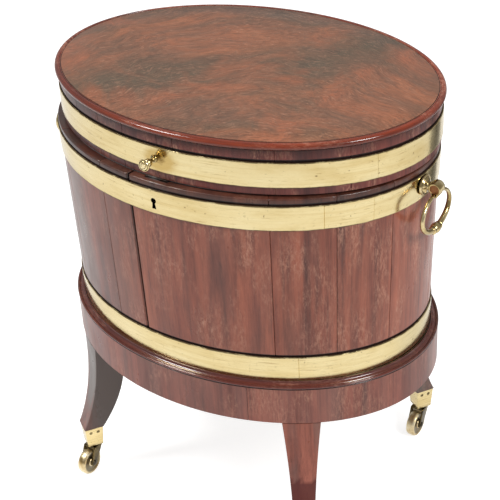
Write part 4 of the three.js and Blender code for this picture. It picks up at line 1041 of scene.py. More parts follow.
def warmth_and_side_sheen(seed):
    """Redder towards the right end, greyer towards the left, with a drift of its own in each stave; the grey
    towards the left is painted sheen.
    """
    def rule(point):
        angle = math.atan2(point.y - BODY_OVAL.y, point.x - BODY_OVAL.x)
        return 0.5 + 0.42 * math.cos(angle + 15 * DEGREE) + 0.12 * math.sin(5 * seed)
    return rule


def in_shrunk_joint(point):
    """Whether a point lies on the sides or the arris of the open joint."""
    joint = STAVE_JOINT_ANGLES[0]
    east, north = oval_shares(BODY_OVAL, point)
    away = abs(math.atan2(north, east) / DEGREE - joint)
    return away < angle_of(BODY_OVAL, joint, SHRUNK_GAP / 2 + SHRUNK_DIRT_MARGIN)


def make_staves():
    profile = stave_profile()
    keyhole = Vector((BODY_OVAL.x, BODY_LOW.y + STAVE_THICKNESS, BODY_HIGH.z - KEYHOLE_DROP))

    # The sunk lines above the bands are darkened as dirt and painted shade, the keyhole's walls as painted
    # shade, the open joint as dirt, and the ledge above the upper band as painted shade under the lid
    def grime_and_shade(point):
        in_line = in_dirt_and_shade_line(point.z, LOWER_HIGH.z) or in_dirt_and_shade_line(point.z, UPPER_HIGH.z)
        in_keyhole = (point - keyhole).length < 0.8 * KEYHOLE_HEIGHT
        if in_line or in_keyhole or in_shrunk_joint(point):
            return DIRT_AND_SHADE_SHARE
        return LEDGE_SHADE_SHARE if point.z > UPPER_HIGH.z else 0.0

    joints = STAVE_JOINT_ANGLES + [STAVE_JOINT_ANGLES[0] + 360]
    for i, name in enumerate(STAVES):
        shrunk = (i == 0, i + 1 == len(STAVES))
        gaps = [SHRUNK_GAP if wide else STAVE_GAP for wide in shrunk]
        arrises = [SHRUNK_ARRIS if wide else STAVE_ARRIS for wide in shrunk]
        mesh = sweep_stretch(f"{name}_wood", BODY_OVAL, profile, joints[i:i + 2], gaps, arrises)
        piece = add_piece(mesh, "stave", "cooler", "mahogany", name)
        if i == 0:
            combine(piece, [keyhole_blade(), lock_pocket()])
        write_places(piece.data, BODY_OVAL, 3.7 * i, grime_and_shade, warmth_and_side_sheen(i))


def make_liner_lip():
    """The lining's edge, dressed over the staves under the lid, and cut away at the hinges and the lock."""
    foot, top = BODY_HIGH.z, LID_SIDE_LOW.z - SEAT_GAP
    section = [
        (-LIP_OUTER_INSET, foot, 0), (-LIP_OUTER_INSET, top - LIP_ROUNDING, 0),
        (-LIP_OUTER_INSET - LIP_ROUNDING, top, 0), (-LIP_INNER_INSET, top, 0), (-LIP_INNER_INSET, foot, 0),
    ]
    piece = add_piece(jointed_ring("liner_lip_lead", BODY_OVAL, section), "lead", "cooler", "lead")
    room = Vector((LIP_CLEARANCE,) * 3)
    blocks = []
    for name in HINGE_LEAVES + ["lock_case", "lock_strike"]:
        low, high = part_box(name)
        head = Vector((high.x, high.y, top + CUT_MARGIN)) + room
        blocks.append(block_mesh(f"{name}_room", low - room, head))
    combine(piece, blocks)


# Brass bands

def waver(angle, seed):
    spot = Vector((3 * math.cos(angle * DEGREE), 3 * math.sin(angle * DEGREE), seed))
    return EDGE_WAVER * noise.noise(spot * 2.3)


def band_section(oval, foot, top, seed):
    """The brass strip's section, with rounded edges, a slight swell and edges that waver by hand."""
    def section(angle):
        low = foot + waver(angle, seed)
        high = top + waver(angle, seed + 9)
        points = [(BAND_INNER, low, 0), (BAND_PROUD - BAND_ROUNDING, low, 1)]
        points += [(BAND_PROUD, low + BAND_ROUNDING, 1)]
        for share in BAND_HEIGHT_SHARES:
            swell = BAND_SWELL * (1 - (2 * share - 1) ** 2)
            points.append((BAND_PROUD + swell, low + (high - low) * share, 1))
        points += [(BAND_PROUD, high - BAND_ROUNDING, 1)]
        points += [(BAND_PROUD - BAND_ROUNDING, high, 1), (BAND_INNER, high, 0)]
        return [(out + lean(oval, z), z, share) for out, z, share in points]
    return section


def knob_stain_and_shadow(point):
    """Tarnish on the band round the knob, that polishing doesn't reach, and a painted shadow of the knob to
    its right.
    """
    away = math.hypot((point.x - KNOB_X - STAIN_AND_SHADOW_SHIFT) / STAIN_AND_SHADOW_WIDTH_SHARE, point.z - KNOB_Z)
    return near(away, STAIN_AND_SHADOW_REACH) if point.y < LID_OVAL.y else 0.0


def make_nails(node, body, oval, seams, foot, top):
    """A pair of small nails on each side of a band's seam."""
    profile = [(0, -NAIL_SINK), (NAIL_RADIUS, -NAIL_SINK), (NAIL_RADIUS, 0.0)]
    profile += [(0.75 * NAIL_RADIUS, NAIL_RISE), (0, 1.3 * NAIL_RISE)]
    for i, seam in enumerate(seams):
        for j, side in enumerate((-1, 1)):
            z = foot + (top - foot) * NAIL_HEIGHT_SHARES[(i + j) % 2]
            angle = seam + side * angle_of(oval, seam, NAIL_SEAM_DISTANCE)
            place = oval_point(oval, BAND_PROUD + lean(oval, z), angle, z)
            facing = Vector((*oval_normal(oval, angle), 0)).normalized()
            mesh = lathe_mesh(f"{node}_brass_nail_{i + 1}_{j + 1}", profile, facing, place, NAIL_STEPS)
            add_piece(mesh, "dark_brass", body, "band_brass")


def make_band(node, body, oval, seams, seed):
    foot, top = (corner.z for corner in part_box(node))
    section = band_section(oval, foot, top, seed)
    mesh = jointed_ring(f"{node}_brass", oval, section, seams, SEAM_WIDTH, SEAM_DEPTH)
    piece = add_piece(mesh, "band", body, "band_brass", node)
    if node == "upper_band":
        combine(piece, [keyhole_blade()])
    seam_spots = [oval_point(oval, BAND_PROUD, seam, 0) for seam in seams]

    # The top edge is darkened as dirt and as painted shade that hides the lamp's highlight there, the foot
    # edge as dirt, and the seams as dark joints
    def grime_and_shade(point):
        above = near(top - point.z, BAND_TOP_DIRT_AND_SHADE_REACH)
        below = near(point.z - foot, BAND_FOOT_DIRT_REACH)
        nearest = min(math.hypot(point.x - spot.x, point.y - spot.y) for spot in seam_spots)
        return max(above, 0.85 * below, 0.7 * near(nearest, SEAM_WIDTH / 2))

    write_places(piece.data, oval, seed, grime_and_shade)
    write_value(piece.data, "stain_and_shadow", knob_stain_and_shadow if node == "lid_band" else 0.0)
    make_nails(node, body, oval, seams, foot, top)


# Lid

def make_lid_side():
    foot, top = LID_SIDE_LOW.z, LID_SIDE_HIGH.z
    outer = [(-LID_FOOT_ARRIS, foot), (0, foot + LID_FOOT_ARRIS)] + sunk_line_section(LID_BAND_HIGH.z)
    outer += [(0, top - LID_HEAD_ARRIS), (-LID_HEAD_ARRIS, top)]
    section = [(offset, z, 1) for offset, z in outer]
    section += [(-STAVE_THICKNESS, top, 0), (-STAVE_THICKNESS, foot, 0)]
    mesh = jointed_ring("lid_side_wood", LID_OVAL, section, LID_SIDE_JOINT_ANGLES, JOINT_LINE_WIDTH,
                        JOINT_LINE_DEPTH)
    piece = add_piece(mesh, "side", "lid", "mahogany", "lid_side")
    combine(piece, [bolt_mortise()])

    # The sunk line above the band is darkened as dirt and painted shade, and the top under the bead as
    # painted shade
    def grime_and_shade(point):
        in_line = in_dirt_and_shade_line(point.z, LID_BAND_HIGH.z)
        return DIRT_AND_SHADE_SHARE if in_line else DEEP_DIRT_AND_SHADE_SHARE * near(abs(point.z - top), UNDER_BEAD_REACH)

    write_places(piece.data, LID_OVAL, 4.2, grime_and_shade, warmth_and_side_sheen(0))


def lid_loft(name, profile, closed=False):
    angles = spread_angles(0, 360)[:-1]
    rings = [[oval_point(LID_OVAL, offset, angle, z) for angle in angles] for offset, z in profile]
    return loft_mesh(name, rings, closed)


def make_lid_board(foot, top, quirk, bead_foot):
    """The flame board inside the quirk."""
    inset = -STAVE_THICKNESS - BOARD_CLEARANCE
    wall = quirk - 0.9 * QUIRK_WIDTH
    board = [(inset, foot), (inset, bead_foot), (wall, bead_foot), (wall, top - QUIRK_DEPTH)]
    board += [(quirk - QUIRK_WIDTH, top - BOARD_ARRIS_DEPTH), (quirk - QUIRK_WIDTH - BOARD_ARRIS_WIDTH, top)]
    board += [(quirk - share * LID_OVAL.b, top) for share in BOARD_RING_SHARES]
    piece = add_piece(lid_loft("lid_top_wood", board), "flame", "lid", "flame_mahogany", "lid_top")

    # Darker down in the quirk
    def grime_and_shade(point):
        return DEEP_DIRT_AND_SHADE_SHARE if QUIRK_UNDARKENED_DEPTH < top - point.z < QUIRK_DARK_DEPTH else 0.0

    write_places(piece.data, LID_OVAL, grime_and_shade=grime_and_shade)


def make_lid_bead(top, reach, quirk, bead_foot):
    """The half-round bead round the board, with a fine groove inside its crest."""
    inner = quirk - 0.75 * QUIRK_WIDTH
    middle = reach - BEAD_RADIUS
    half_height = (top - bead_foot) / 2
    bead = [(inner, bead_foot + BEAD_INNER_ARRIS), (inner + BEAD_INNER_ARRIS, bead_foot), (middle, bead_foot)]
    bead += arc(middle, bead_foot + half_height, BEAD_RADIUS, -80, 90, 18, half_height)
    bead += [(quirk + out, top + rise) for out, rise in outline_of(GROOVE_OUTLINE, MM, MM)]
    bead += [(inner + BEAD_INNER_SLOPE, top - BEAD_INNER_DROP)]
    piece = add_piece(lid_loft("lid_bead_wood", bead, closed=True), "bead", "lid", "mahogany", "lid_top")
    groove_end = 1 + (quirk + GROOVE_DARK_REACH) / LID_OVAL.b

    # Darker down in the groove inside the crest
    def grime_and_shade(point):
        in_groove = math.hypot(*oval_shares(LID_OVAL, point)) < groove_end
        return DEEP_DIRT_AND_SHADE_SHARE if in_groove and point.z < top - GROOVE_DARK_DEPTH else 0.0

    write_places(piece.data, LID_OVAL, 7.7, grime_and_shade, 0.8, along=True)


def make_lid_top():
    low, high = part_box("lid_top")
    bead_foot = LID_SIDE_HIGH.z + BEAD_SEAT
    reach = high.x - LID_OVAL.x - LID_OVAL.a
    make_lid_board(low.z, high.z, reach - QUIRK_INSET, bead_foot)
    make_lid_bead(high.z, reach, reach - QUIRK_INSET, bead_foot)


make_staves()
make_keyhole_shade_sleeve()
make_liner_lip()
make_band("upper_band", "cooler", BODY_OVAL, UPPER_BAND_SEAM_ANGLES, 1)
make_band("lower_band", "cooler", BODY_OVAL, LOWER_BAND_SEAM_ANGLES, 2)
make_band("lid_band", "lid", LID_OVAL, LID_BAND_SEAM_ANGLES, 3)
make_lid_side()
make_lid_top()


# Stand

def apron_warmth_and_sheen(point):
    """Grey at the left end and redder towards the front and right; the grey at the left end is painted sheen.
    """
    angle = math.atan2(point.y - APRON_OVAL.y, point.x - APRON_OVAL.x)
    return 0.32 + 0.28 * math.cos(angle + 40 * DEGREE)


def make_aprons():
    top, foot = APRON_HIGH.z, APRON_LOW.z
    profile = [(-APRON_FOOT_ARRIS, foot), (0, foot + APRON_FOOT_ARRIS), (0, top)]
    profile += [(-APRON_THICKNESS, top), (-APRON_THICKNESS, foot)]
    seams = APRON_SEAM_ANGLES + [APRON_SEAM_ANGLES[0] + 360]
    for i, name in enumerate(APRONS):
        mesh = sweep_stretch(f"{name}_wood", APRON_OVAL, profile, seams[i:i + 2], (APRON_GAP,) * 2,
                             (APRON_JOINT_ARRIS,) * 2)
        piece = add_piece(mesh, "apron", "stand", "mahogany", name)
        write_places(piece.data, APRON_OVAL, 2.0 + 1.7 * i, warmth_and_sheen=apron_warmth_and_sheen)


def make_rim():
    """The moulding on the apron: a bead at its edge, and a cove that rises to the body."""
    low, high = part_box("rim_moulding")
    foot, top = low.z, high.z
    outer = high.x - APRON_OVAL.x - APRON_OVAL.a
    inner = oval_of(["lower_band"]).a - APRON_OVAL.a + RIM_CLEARANCE
    bead_z = foot + RIM_BEAD_RISE + RIM_BEAD_RADIUS
    points = [(inner, foot), (outer - RIM_FOOT_ARRIS, foot), (outer - RIM_BEAD_INSET, foot + RIM_FOOT_RISE)]
    points += arc(outer - RIM_BEAD_RADIUS, bead_z, RIM_BEAD_RADIUS, -60, 120, 10)
    step = outer - 2 * RIM_BEAD_RADIUS
    start, end = step - RIM_COVE_INSET, inner + RIM_COVE_INSET
    cove_foot = foot + RIM_COVE_RISE
    points += [(step, cove_foot - RIM_STEP_HEAD_DROP), (step - RIM_STEP_WIDTH, cove_foot - RIM_STEP_DROP)]
    points += [(start, cove_foot)]
    for share in RIM_COVE_SHARES:
        rise = (top - cove_foot) * (1 - math.sqrt(1 - share ** 2))
        points.append((start + (end - start) * share, cove_foot + rise))
    points += [(end, top - RIM_TOP_RISE), (inner + RIM_TOP_WIDTH, top), (inner, top)]
    section = [(offset, z, 0) for offset, z in points]
    mesh = jointed_ring("rim_moulding_wood", APRON_OVAL, section, APRON_SEAM_ANGLES, RIM_SEAM_WIDTH)
    piece = add_piece(mesh, "rim", "stand", "mahogany", "rim_moulding")

    # Painted shade along the foot, under the bead
    def grime_and_shade(point):
        return near(abs(point.z - foot), RIM_FOOT_SHADE_REACH)

    write_places(piece.data, APRON_OVAL, 6.1, grime_and_shade, along=True)


# Legs

def leg_matrix(name):
    """Where a leg's own frame stands: on the apron's face, with x away from the middle."""
    east, north = oval_normal(APRON_OVAL, LEG_ANGLES[name])
    spot = oval_point(APRON_OVAL, 0, LEG_ANGLES[name], 0)
    return Matrix.Translation(spot) @ Matrix.Rotation(math.atan2(north, east), 4, "Z")


def apron_sag(name, width):
    """How far the apron's face falls back from its tangent across a leg's width."""
    speed = oval_speed(APRON_OVAL, LEG_ANGLES[name])
    return width ** 2 * APRON_OVAL.a * APRON_OVAL.b / (8 * speed ** 3)


def leg_section(inner, outer, width, z, sag):
    """A square with eased arrises, whose outer face follows the apron's curve."""
    corners = eased_corners(inner, outer - sag, width / 2, LEG_ARRIS, 4)
    face = [(outer - sag * share ** 2, share * width / 2) for share in LEG_FACE_SHARES]
    return lifted(corners[0] + corners[1] + face + corners[2] + corners[3], z)


def make_leg(name):
    foot_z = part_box(f"cap_{name}")[1].z + SEAT_GAP
    top_z = APRON_LOW.z - SEAT_GAP
    foot_inner = LEG_SPLAY - LEG_FOOT_SIZE
    rings = []
    for i in range(LEG_STEPS + 1):
        share = 1 - i / LEG_STEPS
        outer = LEG_SPLAY * share ** OUTER_CURVE_POWER
        inner = -LEG_TOP_DEPTH + (foot_inner + LEG_TOP_DEPTH) * share ** INNER_CURVE_POWER
        width = LEG_FOOT_SIZE + (LEG_TOP_WIDTH - LEG_FOOT_SIZE) * (1 - share) ** WIDTH_CURVE_POWER
        sag = apron_sag(name, LEG_TOP_WIDTH) * (1 - share) ** 2
        z = top_z - (top_z - foot_z) * share
        if i == 0:
            rings.append(leg_section(inner + LEG_ARRIS / 2, outer - LEG_ARRIS / 2, width - LEG_ARRIS, z, sag))
            z += LEG_ARRIS / 2
        rings.append(leg_section(inner, outer, width, z, sag))
    block_outer = -APRON_THICKNESS - SEAT_GAP - apron_sag(name, LEG_BLOCK_WIDTH)
    for z in (top_z, APRON_LOW.z + LEG_BLOCK_HEIGHT):
        rings.append(leg_section(-LEG_TOP_DEPTH, block_outer, LEG_BLOCK_WIDTH, z, 0))
    mesh = loft_mesh(f"leg_{name}_wood", rings)
    mesh.transform(leg_matrix(name))
    add_piece(mesh, "leg", "stand", "mahogany", f"leg_{name}")
    stained_share = STAINED_FOOT_SHARES.get(name, 0.0)

    def grime_and_shade(point):
        waved = STAINED_FOOT_WAVER * noise.noise(point / STAINED_FOOT_WAVE_SIZE)
        stained = point.z < foot_z + STAINED_FOOT_HEIGHT + waved
        return max(0.3 * near(abs(point.z - foot_z), LEG_DIRT_REACH), stained_share if stained else 0.0)

    tone = 1.9 * list(LEG_ANGLES).index(name) + 0.7
    write_own_places(mesh, leg_matrix(name), tone, grime_and_shade, LEG_WARMTH_AND_SHEEN_SHARES[name])


# Screws

def add_screw(name, place, facing, body, turn):
    """A countersunk head whose slot is turned by an angle."""
    profile = outline_of(SCREW_OUTLINE_SHARES, SCREW_RADIUS, SCREW_DEPTH)
    mesh = lathe_mesh(name, profile, (1, 0, 0), (0, 0, 0), SMALL_ROUND_STEPS)
    piece = add_piece(mesh, "dark_brass", body, "aged_brass")
    half, reach = SLOT_WIDTH / 2, 1.2 * SCREW_RADIUS
    outline = [(-reach, -half), (reach, -half), (reach, half), (-reach, half)]
    combine(piece, [prism_mesh("slot", outline, profile[-1][1] - SLOT_DEPTH, CUT_MARGIN)])
    aim = Vector((1, 0, 0)).rotation_difference(Vector(facing)).to_matrix().to_4x4()
    for change in (Matrix.Rotation(turn, 4, "X"), aim, Matrix.Translation(place)):
        piece.data.transform(change)


def add_hinge_screws(side):
    low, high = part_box(f"hinge_body_leaf_{side}")
    over = BODY_HIGH.z + HINGE_BODY_LEAF_THICKNESS
    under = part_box(f"hinge_lid_leaf_{side}")[1].z - HINGE_LID_SCREW_DROP
    for k, (share, inset) in enumerate(zip(HINGE_SCREW_SHARES, HINGE_SCREW_INSETS)):
        x, y = low.x + (high.x - low.x) * share, low.y + inset
        add_screw(f"hinge_body_{side}_screw_{k + 1}", Vector((x, y, over)), (0, 0, 1), "cooler", 0.5 + k)
        add_screw(f"hinge_lid_{side}_screw_{k + 1}", Vector((x, y, under)), (0, 0, -1), "lid", 1.4 + k)


# Caps

def cap_ring(size, z):
    return lifted(sum(eased_corners(-size / 2, size / 2, size / 2, CAP_ARRIS, 5), []), z)


def make_cap(name):
    """A tapered square cap with eased edges and two screws in each side."""
    low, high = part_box(f"cap_{name}")
    spot = (low + high) / 2
    own = Matrix.Translation(Vector((spot.x, spot.y, 0))) @ leg_matrix(name).to_3x3().to_4x4()
    rings = [cap_ring(CAP_FOOT_SIZE - 4 * CAP_EDGE, low.z)]
    rings += [cap_ring(CAP_FOOT_SIZE - CAP_EDGE, low.z + 0.4 * CAP_EDGE)]
    for k in range(CAP_STEPS + 1):
        share = k / CAP_STEPS
        z = low.z + 1.6 * CAP_EDGE + (high.z - low.z - 2.4 * CAP_EDGE) * share
        rings.append(cap_ring(CAP_FOOT_SIZE + (CAP_TOP_SIZE - CAP_FOOT_SIZE) * share, z))
    rings += [cap_ring(CAP_TOP_SIZE - CAP_EDGE, high.z)]
    mesh = loft_mesh(f"cap_{name}_brass", rings)
    mesh.transform(own)
    piece = add_piece(mesh, "cap", "stand", "band_brass", f"cap_{name}")
    combine(piece, add_cap_screws(name, own, low.z, high.z))

    def grime_and_shade(point):
        return 0.35 * near(point.z - low.z, CAP_DIRT_REACH)

    write_own_places(piece.data, own, 2.3, grime_and_shade)
    write_value(piece.data, "stain_and_shadow", 0.0)


def add_cap_screws(name, own, foot, top):
    """Adds the screws of a cap and gives back the sinks to cut for them."""
    lean_angle = math.atan2((CAP_TOP_SIZE - CAP_FOOT_SIZE) / 2, top - foot)
    reach = CAP_TOP_SIZE / 2 - CAP_SCREW_DROP * math.tan(lean_angle)
    sinks = []
    for side, letter in ((-1, "a"), (1, "b")):
        facing = own.to_3x3() @ Vector((0, side * math.cos(lean_angle), -math.sin(lean_angle)))
        for k, (spread, sunk) in enumerate(zip((CAP_SCREW_SPREAD, -CAP_SCREW_SPREAD), CAP_SCREW_SINKS)):
            place = own @ Vector((spread * side, side * reach, top - CAP_SCREW_DROP))
            profile = outline_of(SINK_OUTLINE, SCREW_RADIUS, MM)
            sinks.append(lathe_mesh("sink", profile, facing, place, SMALL_ROUND_STEPS))
            label = f"cap_{name}_screw_{letter}{k + 1}"
            add_screw(label, place - facing * sunk, facing, "stand", 0.9 + 1.7 * k + side)
    return sinks


# Castors

def make_fork(name, wheel, half_wheel):
    """A stem with a turned collar, the crown and two cheeks, cast in one."""
    low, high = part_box(f"castor_fork_{name}")
    x, y = wheel.x, wheel.y + CASTOR_TRAIL
    inside, outside = half_wheel + CHEEK_GAP, (high.x - low.x) / 2
    crown_foot = 2 * wheel.z + CROWN_CLEARANCE
    crown_top = crown_foot + CROWN_THICKNESS
    collar_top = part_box(f"cap_{name}")[0].z - SEAT_GAP
    collar_foot = crown_top - COLLAR_LAP
    collar = outline_of(COLLAR_OUTLINE_SHARES, COLLAR_RADIUS, collar_top - collar_foot, collar_foot)
    mesh = lathe_mesh(f"castor_fork_{name}_brass", collar, (0, 0, 1), (x, y, 0))
    fork = add_piece(mesh, "dark_brass", f"castor_{name}", "aged_brass", f"castor_fork_{name}")

    back, front = y + CROWN_BACK, y - CROWN_FRONT
    crown = [(back, crown_foot), (back, crown_top), (front + CROWN_CHAMFER, crown_top), (front, crown_foot)]
    cheek_top = crown_top - FORK_OVERLAP
    cheek = [(back - FORK_OVERLAP, cheek_top), (front + FORK_OVERLAP, cheek_top)]
    cheek += arc(wheel.y, wheel.z, CHEEK_END_RADIUS, 185, 335, 13)
    stem = [(0, collar_top - MM), (STEM_RADIUS, collar_top - MM), (STEM_RADIUS, high.z), (0, high.z)]
    parts = [prism_mesh("crown", crown, x - outside, x + outside)]
    parts += [prism_mesh("cheek", cheek, x - outside, x - inside)]
    parts += [prism_mesh("cheek", cheek, x + inside, x + outside)]
    parts += [lathe_mesh("stem", stem, (0, 0, 1), (x, y, 0), SMALL_ROUND_STEPS)]
    combine(fork, parts, "UNION")
    ease_edges(fork, FORK_ARRIS, 2, 60 * DEGREE)
    write_own_places(fork.data, Matrix.Translation((x, y, 0)))


def make_wheel(name, middle, half):
    """A fat wheel with a hollow in each side, which is painted dark."""
    profile = mirrored(outline_of(WHEEL_OUTLINE_SHARES, middle.z, half))
    rings = []
    for k in range(FINE_ROUND_STEPS):
        angle = TURN * k / FINE_ROUND_STEPS
        out = Vector((0, math.cos(angle), math.sin(angle)))
        rings.append([middle + radius * out + Vector((height, 0, 0)) for radius, height in profile])
    mesh = loft_mesh(f"castor_wheel_{name}_brass", rings, closed=True)
    add_piece(mesh, "wheel", f"wheel_{name}", "band_brass", f"castor_wheel_{name}")

    def grime_and_shade(point):
        away = math.hypot(point.y - middle.y, point.z - middle.z) / middle.z
        return 0.7 if 0.36 < away < 0.8 and abs(point.x - middle.x) < 0.9 * half else 0.0

    write_own_places(mesh, Matrix.Translation(middle), grime_and_shade=grime_and_shade)


def make_axle(name, middle):
    low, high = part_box(f"castor_axle_{name}")
    head = outline_of(AXLE_HEAD_OUTLINE, MM, MM, (high.x - low.x) / 2)
    pin = mirrored(head + [(AXLE_RADIUS, head[-1][1])])
    mesh = lathe_mesh(f"castor_axle_{name}_steel", pin, (1, 0, 0), middle, AXLE_STEPS)
    add_piece(mesh, "dark_steel", f"castor_{name}", "steel", f"castor_axle_{name}")


def make_castor(name):
    low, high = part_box(f"castor_wheel_{name}")
    middle = (low + high) / 2
    half = (high.x - low.x) / 2
    make_fork(name, middle, half)
    make_wheel(name, middle, half)
    make_axle(name, middle)


# Ring handles, made about the middle of their seat with x away from the body

def handle_matrix(side):
    low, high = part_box(f"handle_mount_{side}")
    ring_low, ring_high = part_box(f"handle_ring_{side}")
    sign = 1 if side == "right" else -1
    ring_x = (ring_low.x + ring_high.x) / 2
    place = Vector((ring_x - sign * HANDLE_STAND_OFF, (low.y + high.y) / 2, (low.z + high.z) / 2))
    return Matrix.Translation(place) @ Matrix.Rotation(0 if sign > 0 else math.pi, 4, "Z")


def along_front(name, profile, place):
    return lathe_mesh(name, profile, (0, -1, 0), place)


def rosette_grime(point):
    away = math.hypot(point.y, point.z) / ROSETTE_RADIUS
    in_cove = point.x < 0.4 * HANDLE_STAND_OFF and (0.76 < away < 0.86 or 0.36 < away < 0.5)
    return 0.55 if in_cove else 0.0


def make_handle_mount(side):
    """A rosette with a neck and a cross drum, and the eye under the drum."""
    profile = [(0, -HANDLE_SHANK_LENGTH), (HANDLE_SHANK_RADIUS, -HANDLE_SHANK_LENGTH)]
    profile += [(HANDLE_SHANK_RADIUS, 0)]
    profile += outline_of(ROSETTE_OUTLINE_SHARES, ROSETTE_RADIUS, HANDLE_STAND_OFF)
    mesh = lathe_mesh(f"handle_mount_{side}_brass", profile, (1, 0, 0), (0, 0, 0), FINE_ROUND_STEPS)
    piece = add_piece(mesh, "brass", "cooler", "aged_brass", f"handle_mount_{side}")
    half = DRUM_LENGTH / 2
    middle = Vector((HANDLE_STAND_OFF, 0, 0))
    eye_place = middle - Vector((0, 0, EYE_DROP))
    drum = mirrored(outline_of(DRUM_OUTLINE_SHARES, DRUM_RADIUS, half))
    eye = mirrored(outline_of(EYE_OUTLINE_SHARES, EYE_RADIUS, half))
    combine(piece, [along_front("drum", drum[::-1], middle), along_front("eye", eye, eye_place)], "UNION")
    flare = EYE_FLARE_SHARE * EYE_BORE_RADIUS
    bore = [(0, -half - CUT_MARGIN), (flare, -half - CUT_MARGIN), (EYE_BORE_RADIUS, -half + EYE_BORE_FLARE)]
    combine(piece, [along_front("bore", mirrored(bore), eye_place)])
    write_own_places(piece.data, Matrix.Identity(4), grime_and_shade=rosette_grime)
    piece.data.transform(handle_matrix(side))

    disc = outline_of(DRUM_END_OUTLINE_SHARES, DRUM_RADIUS, half)
    for k, way in enumerate((-1, 1)):
        mesh = lathe_mesh(f"handle_drum_{side}_end_{k + 1}", disc, (0, way, 0), middle)
        mesh.transform(handle_matrix(side))
        add_piece(mesh, "copper", "cooler", "aged_brass")


def make_handle_ring(side):
    """An oval bar, thin at the eye and thick at the bottom, with a turned ball between two collars."""
    rings = []
    for step in range(RING_STEPS):
        angle = TURN * step / RING_STEPS
        depth_share = (1 - math.sin(angle)) / 2
        radius = RING_THIN_RADIUS + (RING_THICK_RADIUS - RING_THIN_RADIUS) * depth_share
        normal = (0, RING_HALF_HEIGHT * math.cos(angle), RING_HALF_WIDTH * math.sin(angle))
        outward = Vector(normal).normalized()
        middle = Vector((0, RING_HALF_WIDTH * math.cos(angle), RING_HALF_HEIGHT * (math.sin(angle) - 1)))
        ring = []
        for k in range(RING_SIDES):
            turn = TURN * k / RING_SIDES
            out = math.cos(turn) * outward + math.sin(turn) * Vector((1, 0, 0))
            ring.append(middle + radius * out)
        rings.append(ring)
    mesh = loft_mesh(f"handle_ring_{side}_brass", rings, closed=True)
    piece = add_piece(mesh, "brass", f"handle_{side}", "aged_brass", f"handle_ring_{side}")
    collar = outline_of(BALL_COLLAR_OUTLINE, BALL_COLLAR_RADIUS, MM, -BALL_RADIUS - BALL_COLLAR_WIDTH)
    ball = arc(0, 0, BALL_RADIUS, -48, 48, 13, BALL_HEIGHT_SHARE * BALL_RADIUS)
    combine(piece, [along_front("ball", mirrored(collar, ball), (0, 0, -2 * RING_HALF_HEIGHT))], "UNION")

    def grime_and_shade(point):
        beside = abs(abs(point.y) - 0.95 * BALL_RADIUS) < BALL_DIRT_REACH
        return 0.8 if beside and point.z < -1.8 * RING_HALF_HEIGHT else 0.0

    write_own_places(piece.data, Matrix.Identity(4), grime_and_shade=grime_and_shade)
    shift = Matrix.Translation((HANDLE_STAND_OFF, 0, -EYE_DROP))
    piece.data.transform(handle_matrix(side) @ shift)


# Knob

def make_knob():
    length = (KNOB_HIGH.y - KNOB_LOW.y) * (1 - KNOB_SHANK_SHARE)
    seat = KNOB_LOW.y + length
    radius = (KNOB_HIGH.x - KNOB_LOW.x) / 2
    shank, shank_radius = KNOB_HIGH.y - seat, KNOB_SHANK_RADIUS_SHARE * radius
    profile = [(0, -shank), (shank_radius, -shank), (shank_radius, 0)]
    profile += outline_of(KNOB_OUTLINE_SHARES, radius, length)
    mesh = lathe_mesh("lid_knob_brass", profile, (0, -1, 0), (KNOB_X, seat, KNOB_Z), FINE_ROUND_STEPS)
    add_piece(mesh, "knob", "lid", "aged_brass", "lid_knob")
    necks = [seat - length * share for share in KNOB_NECK_SHARES]

    def grime_and_shade(point):
        reach = math.hypot(point.x - KNOB_X, point.z - KNOB_Z) / radius
        in_ring = point.y < KNOB_LOW.y + 0.14 * length and (0.74 < reach < 0.84 or 0.39 < reach < 0.46)
        nearest = min(abs(point.y - neck) for neck in necks)
        return 0.85 if in_ring else 0.55 * near(nearest, 0.08 * length)

    write_own_places(mesh, Matrix.Identity(4), grime_and_shade=grime_and_shade)


make_aprons()
make_rim()
for leg_name in LEG_ANGLES:
    make_leg(leg_name)
    make_cap(leg_name)
    make_castor(leg_name)
for handle_side in ("left", "right"):
    make_handle_mount(handle_side)
    make_handle_ring(handle_side)
    add_hinge_screws(handle_side)
make_knob()


# Carried-over nodes

def dress(names, finish):
    for name in names:
        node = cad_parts[name]
        node.data.materials.clear()
        node.data.materials.append(FINISH[finish])


dress(["lock_case", "lock_bolt", "lock_strike"], "steel")
dress(HINGE_LEAVES, "brass")
dress(["lead_liner"], "lead")
dress(["bearer_left", "bearer_right", "bottom_board"], "deal")


# Camera, light and floor

def direction(azimuth, elevation):
    level = math.cos(elevation * DEGREE)
    east, north = math.sin(azimuth * DEGREE) * level, -math.cos(azimuth * DEGREE) * level
    return Vector((east, north, math.sin(elevation * DEGREE)))


def make_camera():
    target = Vector((BODY_OVAL.x, BODY_OVAL.y, UPPER_HIGH.z))
    place = target + CAMERA_DISTANCE * direction(CAMERA_PLACE_AZIMUTH, CAMERA_PLACE_ELEVATION)
    back = direction(CAMERA_VIEW_AZIMUTH, CAMERA_VIEW_ELEVATION)
    right = Vector((math.cos(CAMERA_VIEW_AZIMUTH * DEGREE), math.sin(CAMERA_VIEW_AZIMUTH * DEGREE), 0))
    up = back.cross(right)
    roll = CAMERA_ROLL * DEGREE
    axes = Matrix((
        right * math.cos(roll) + up * math.sin(roll),
        up * math.cos(roll) - right * math.sin(roll),
        back,
    )).transposed()
    data = bpy.data.cameras.new("camera")
    data.lens = CAMERA_LENS
    data.sensor_width = CAMERA_SENSOR
    data.sensor_fit = "HORIZONTAL"
    camera = link_object("camera", data)
    camera.matrix_world = Matrix.Translation(place) @ axes.to_4x4()
    bpy.context.scene.camera = camera


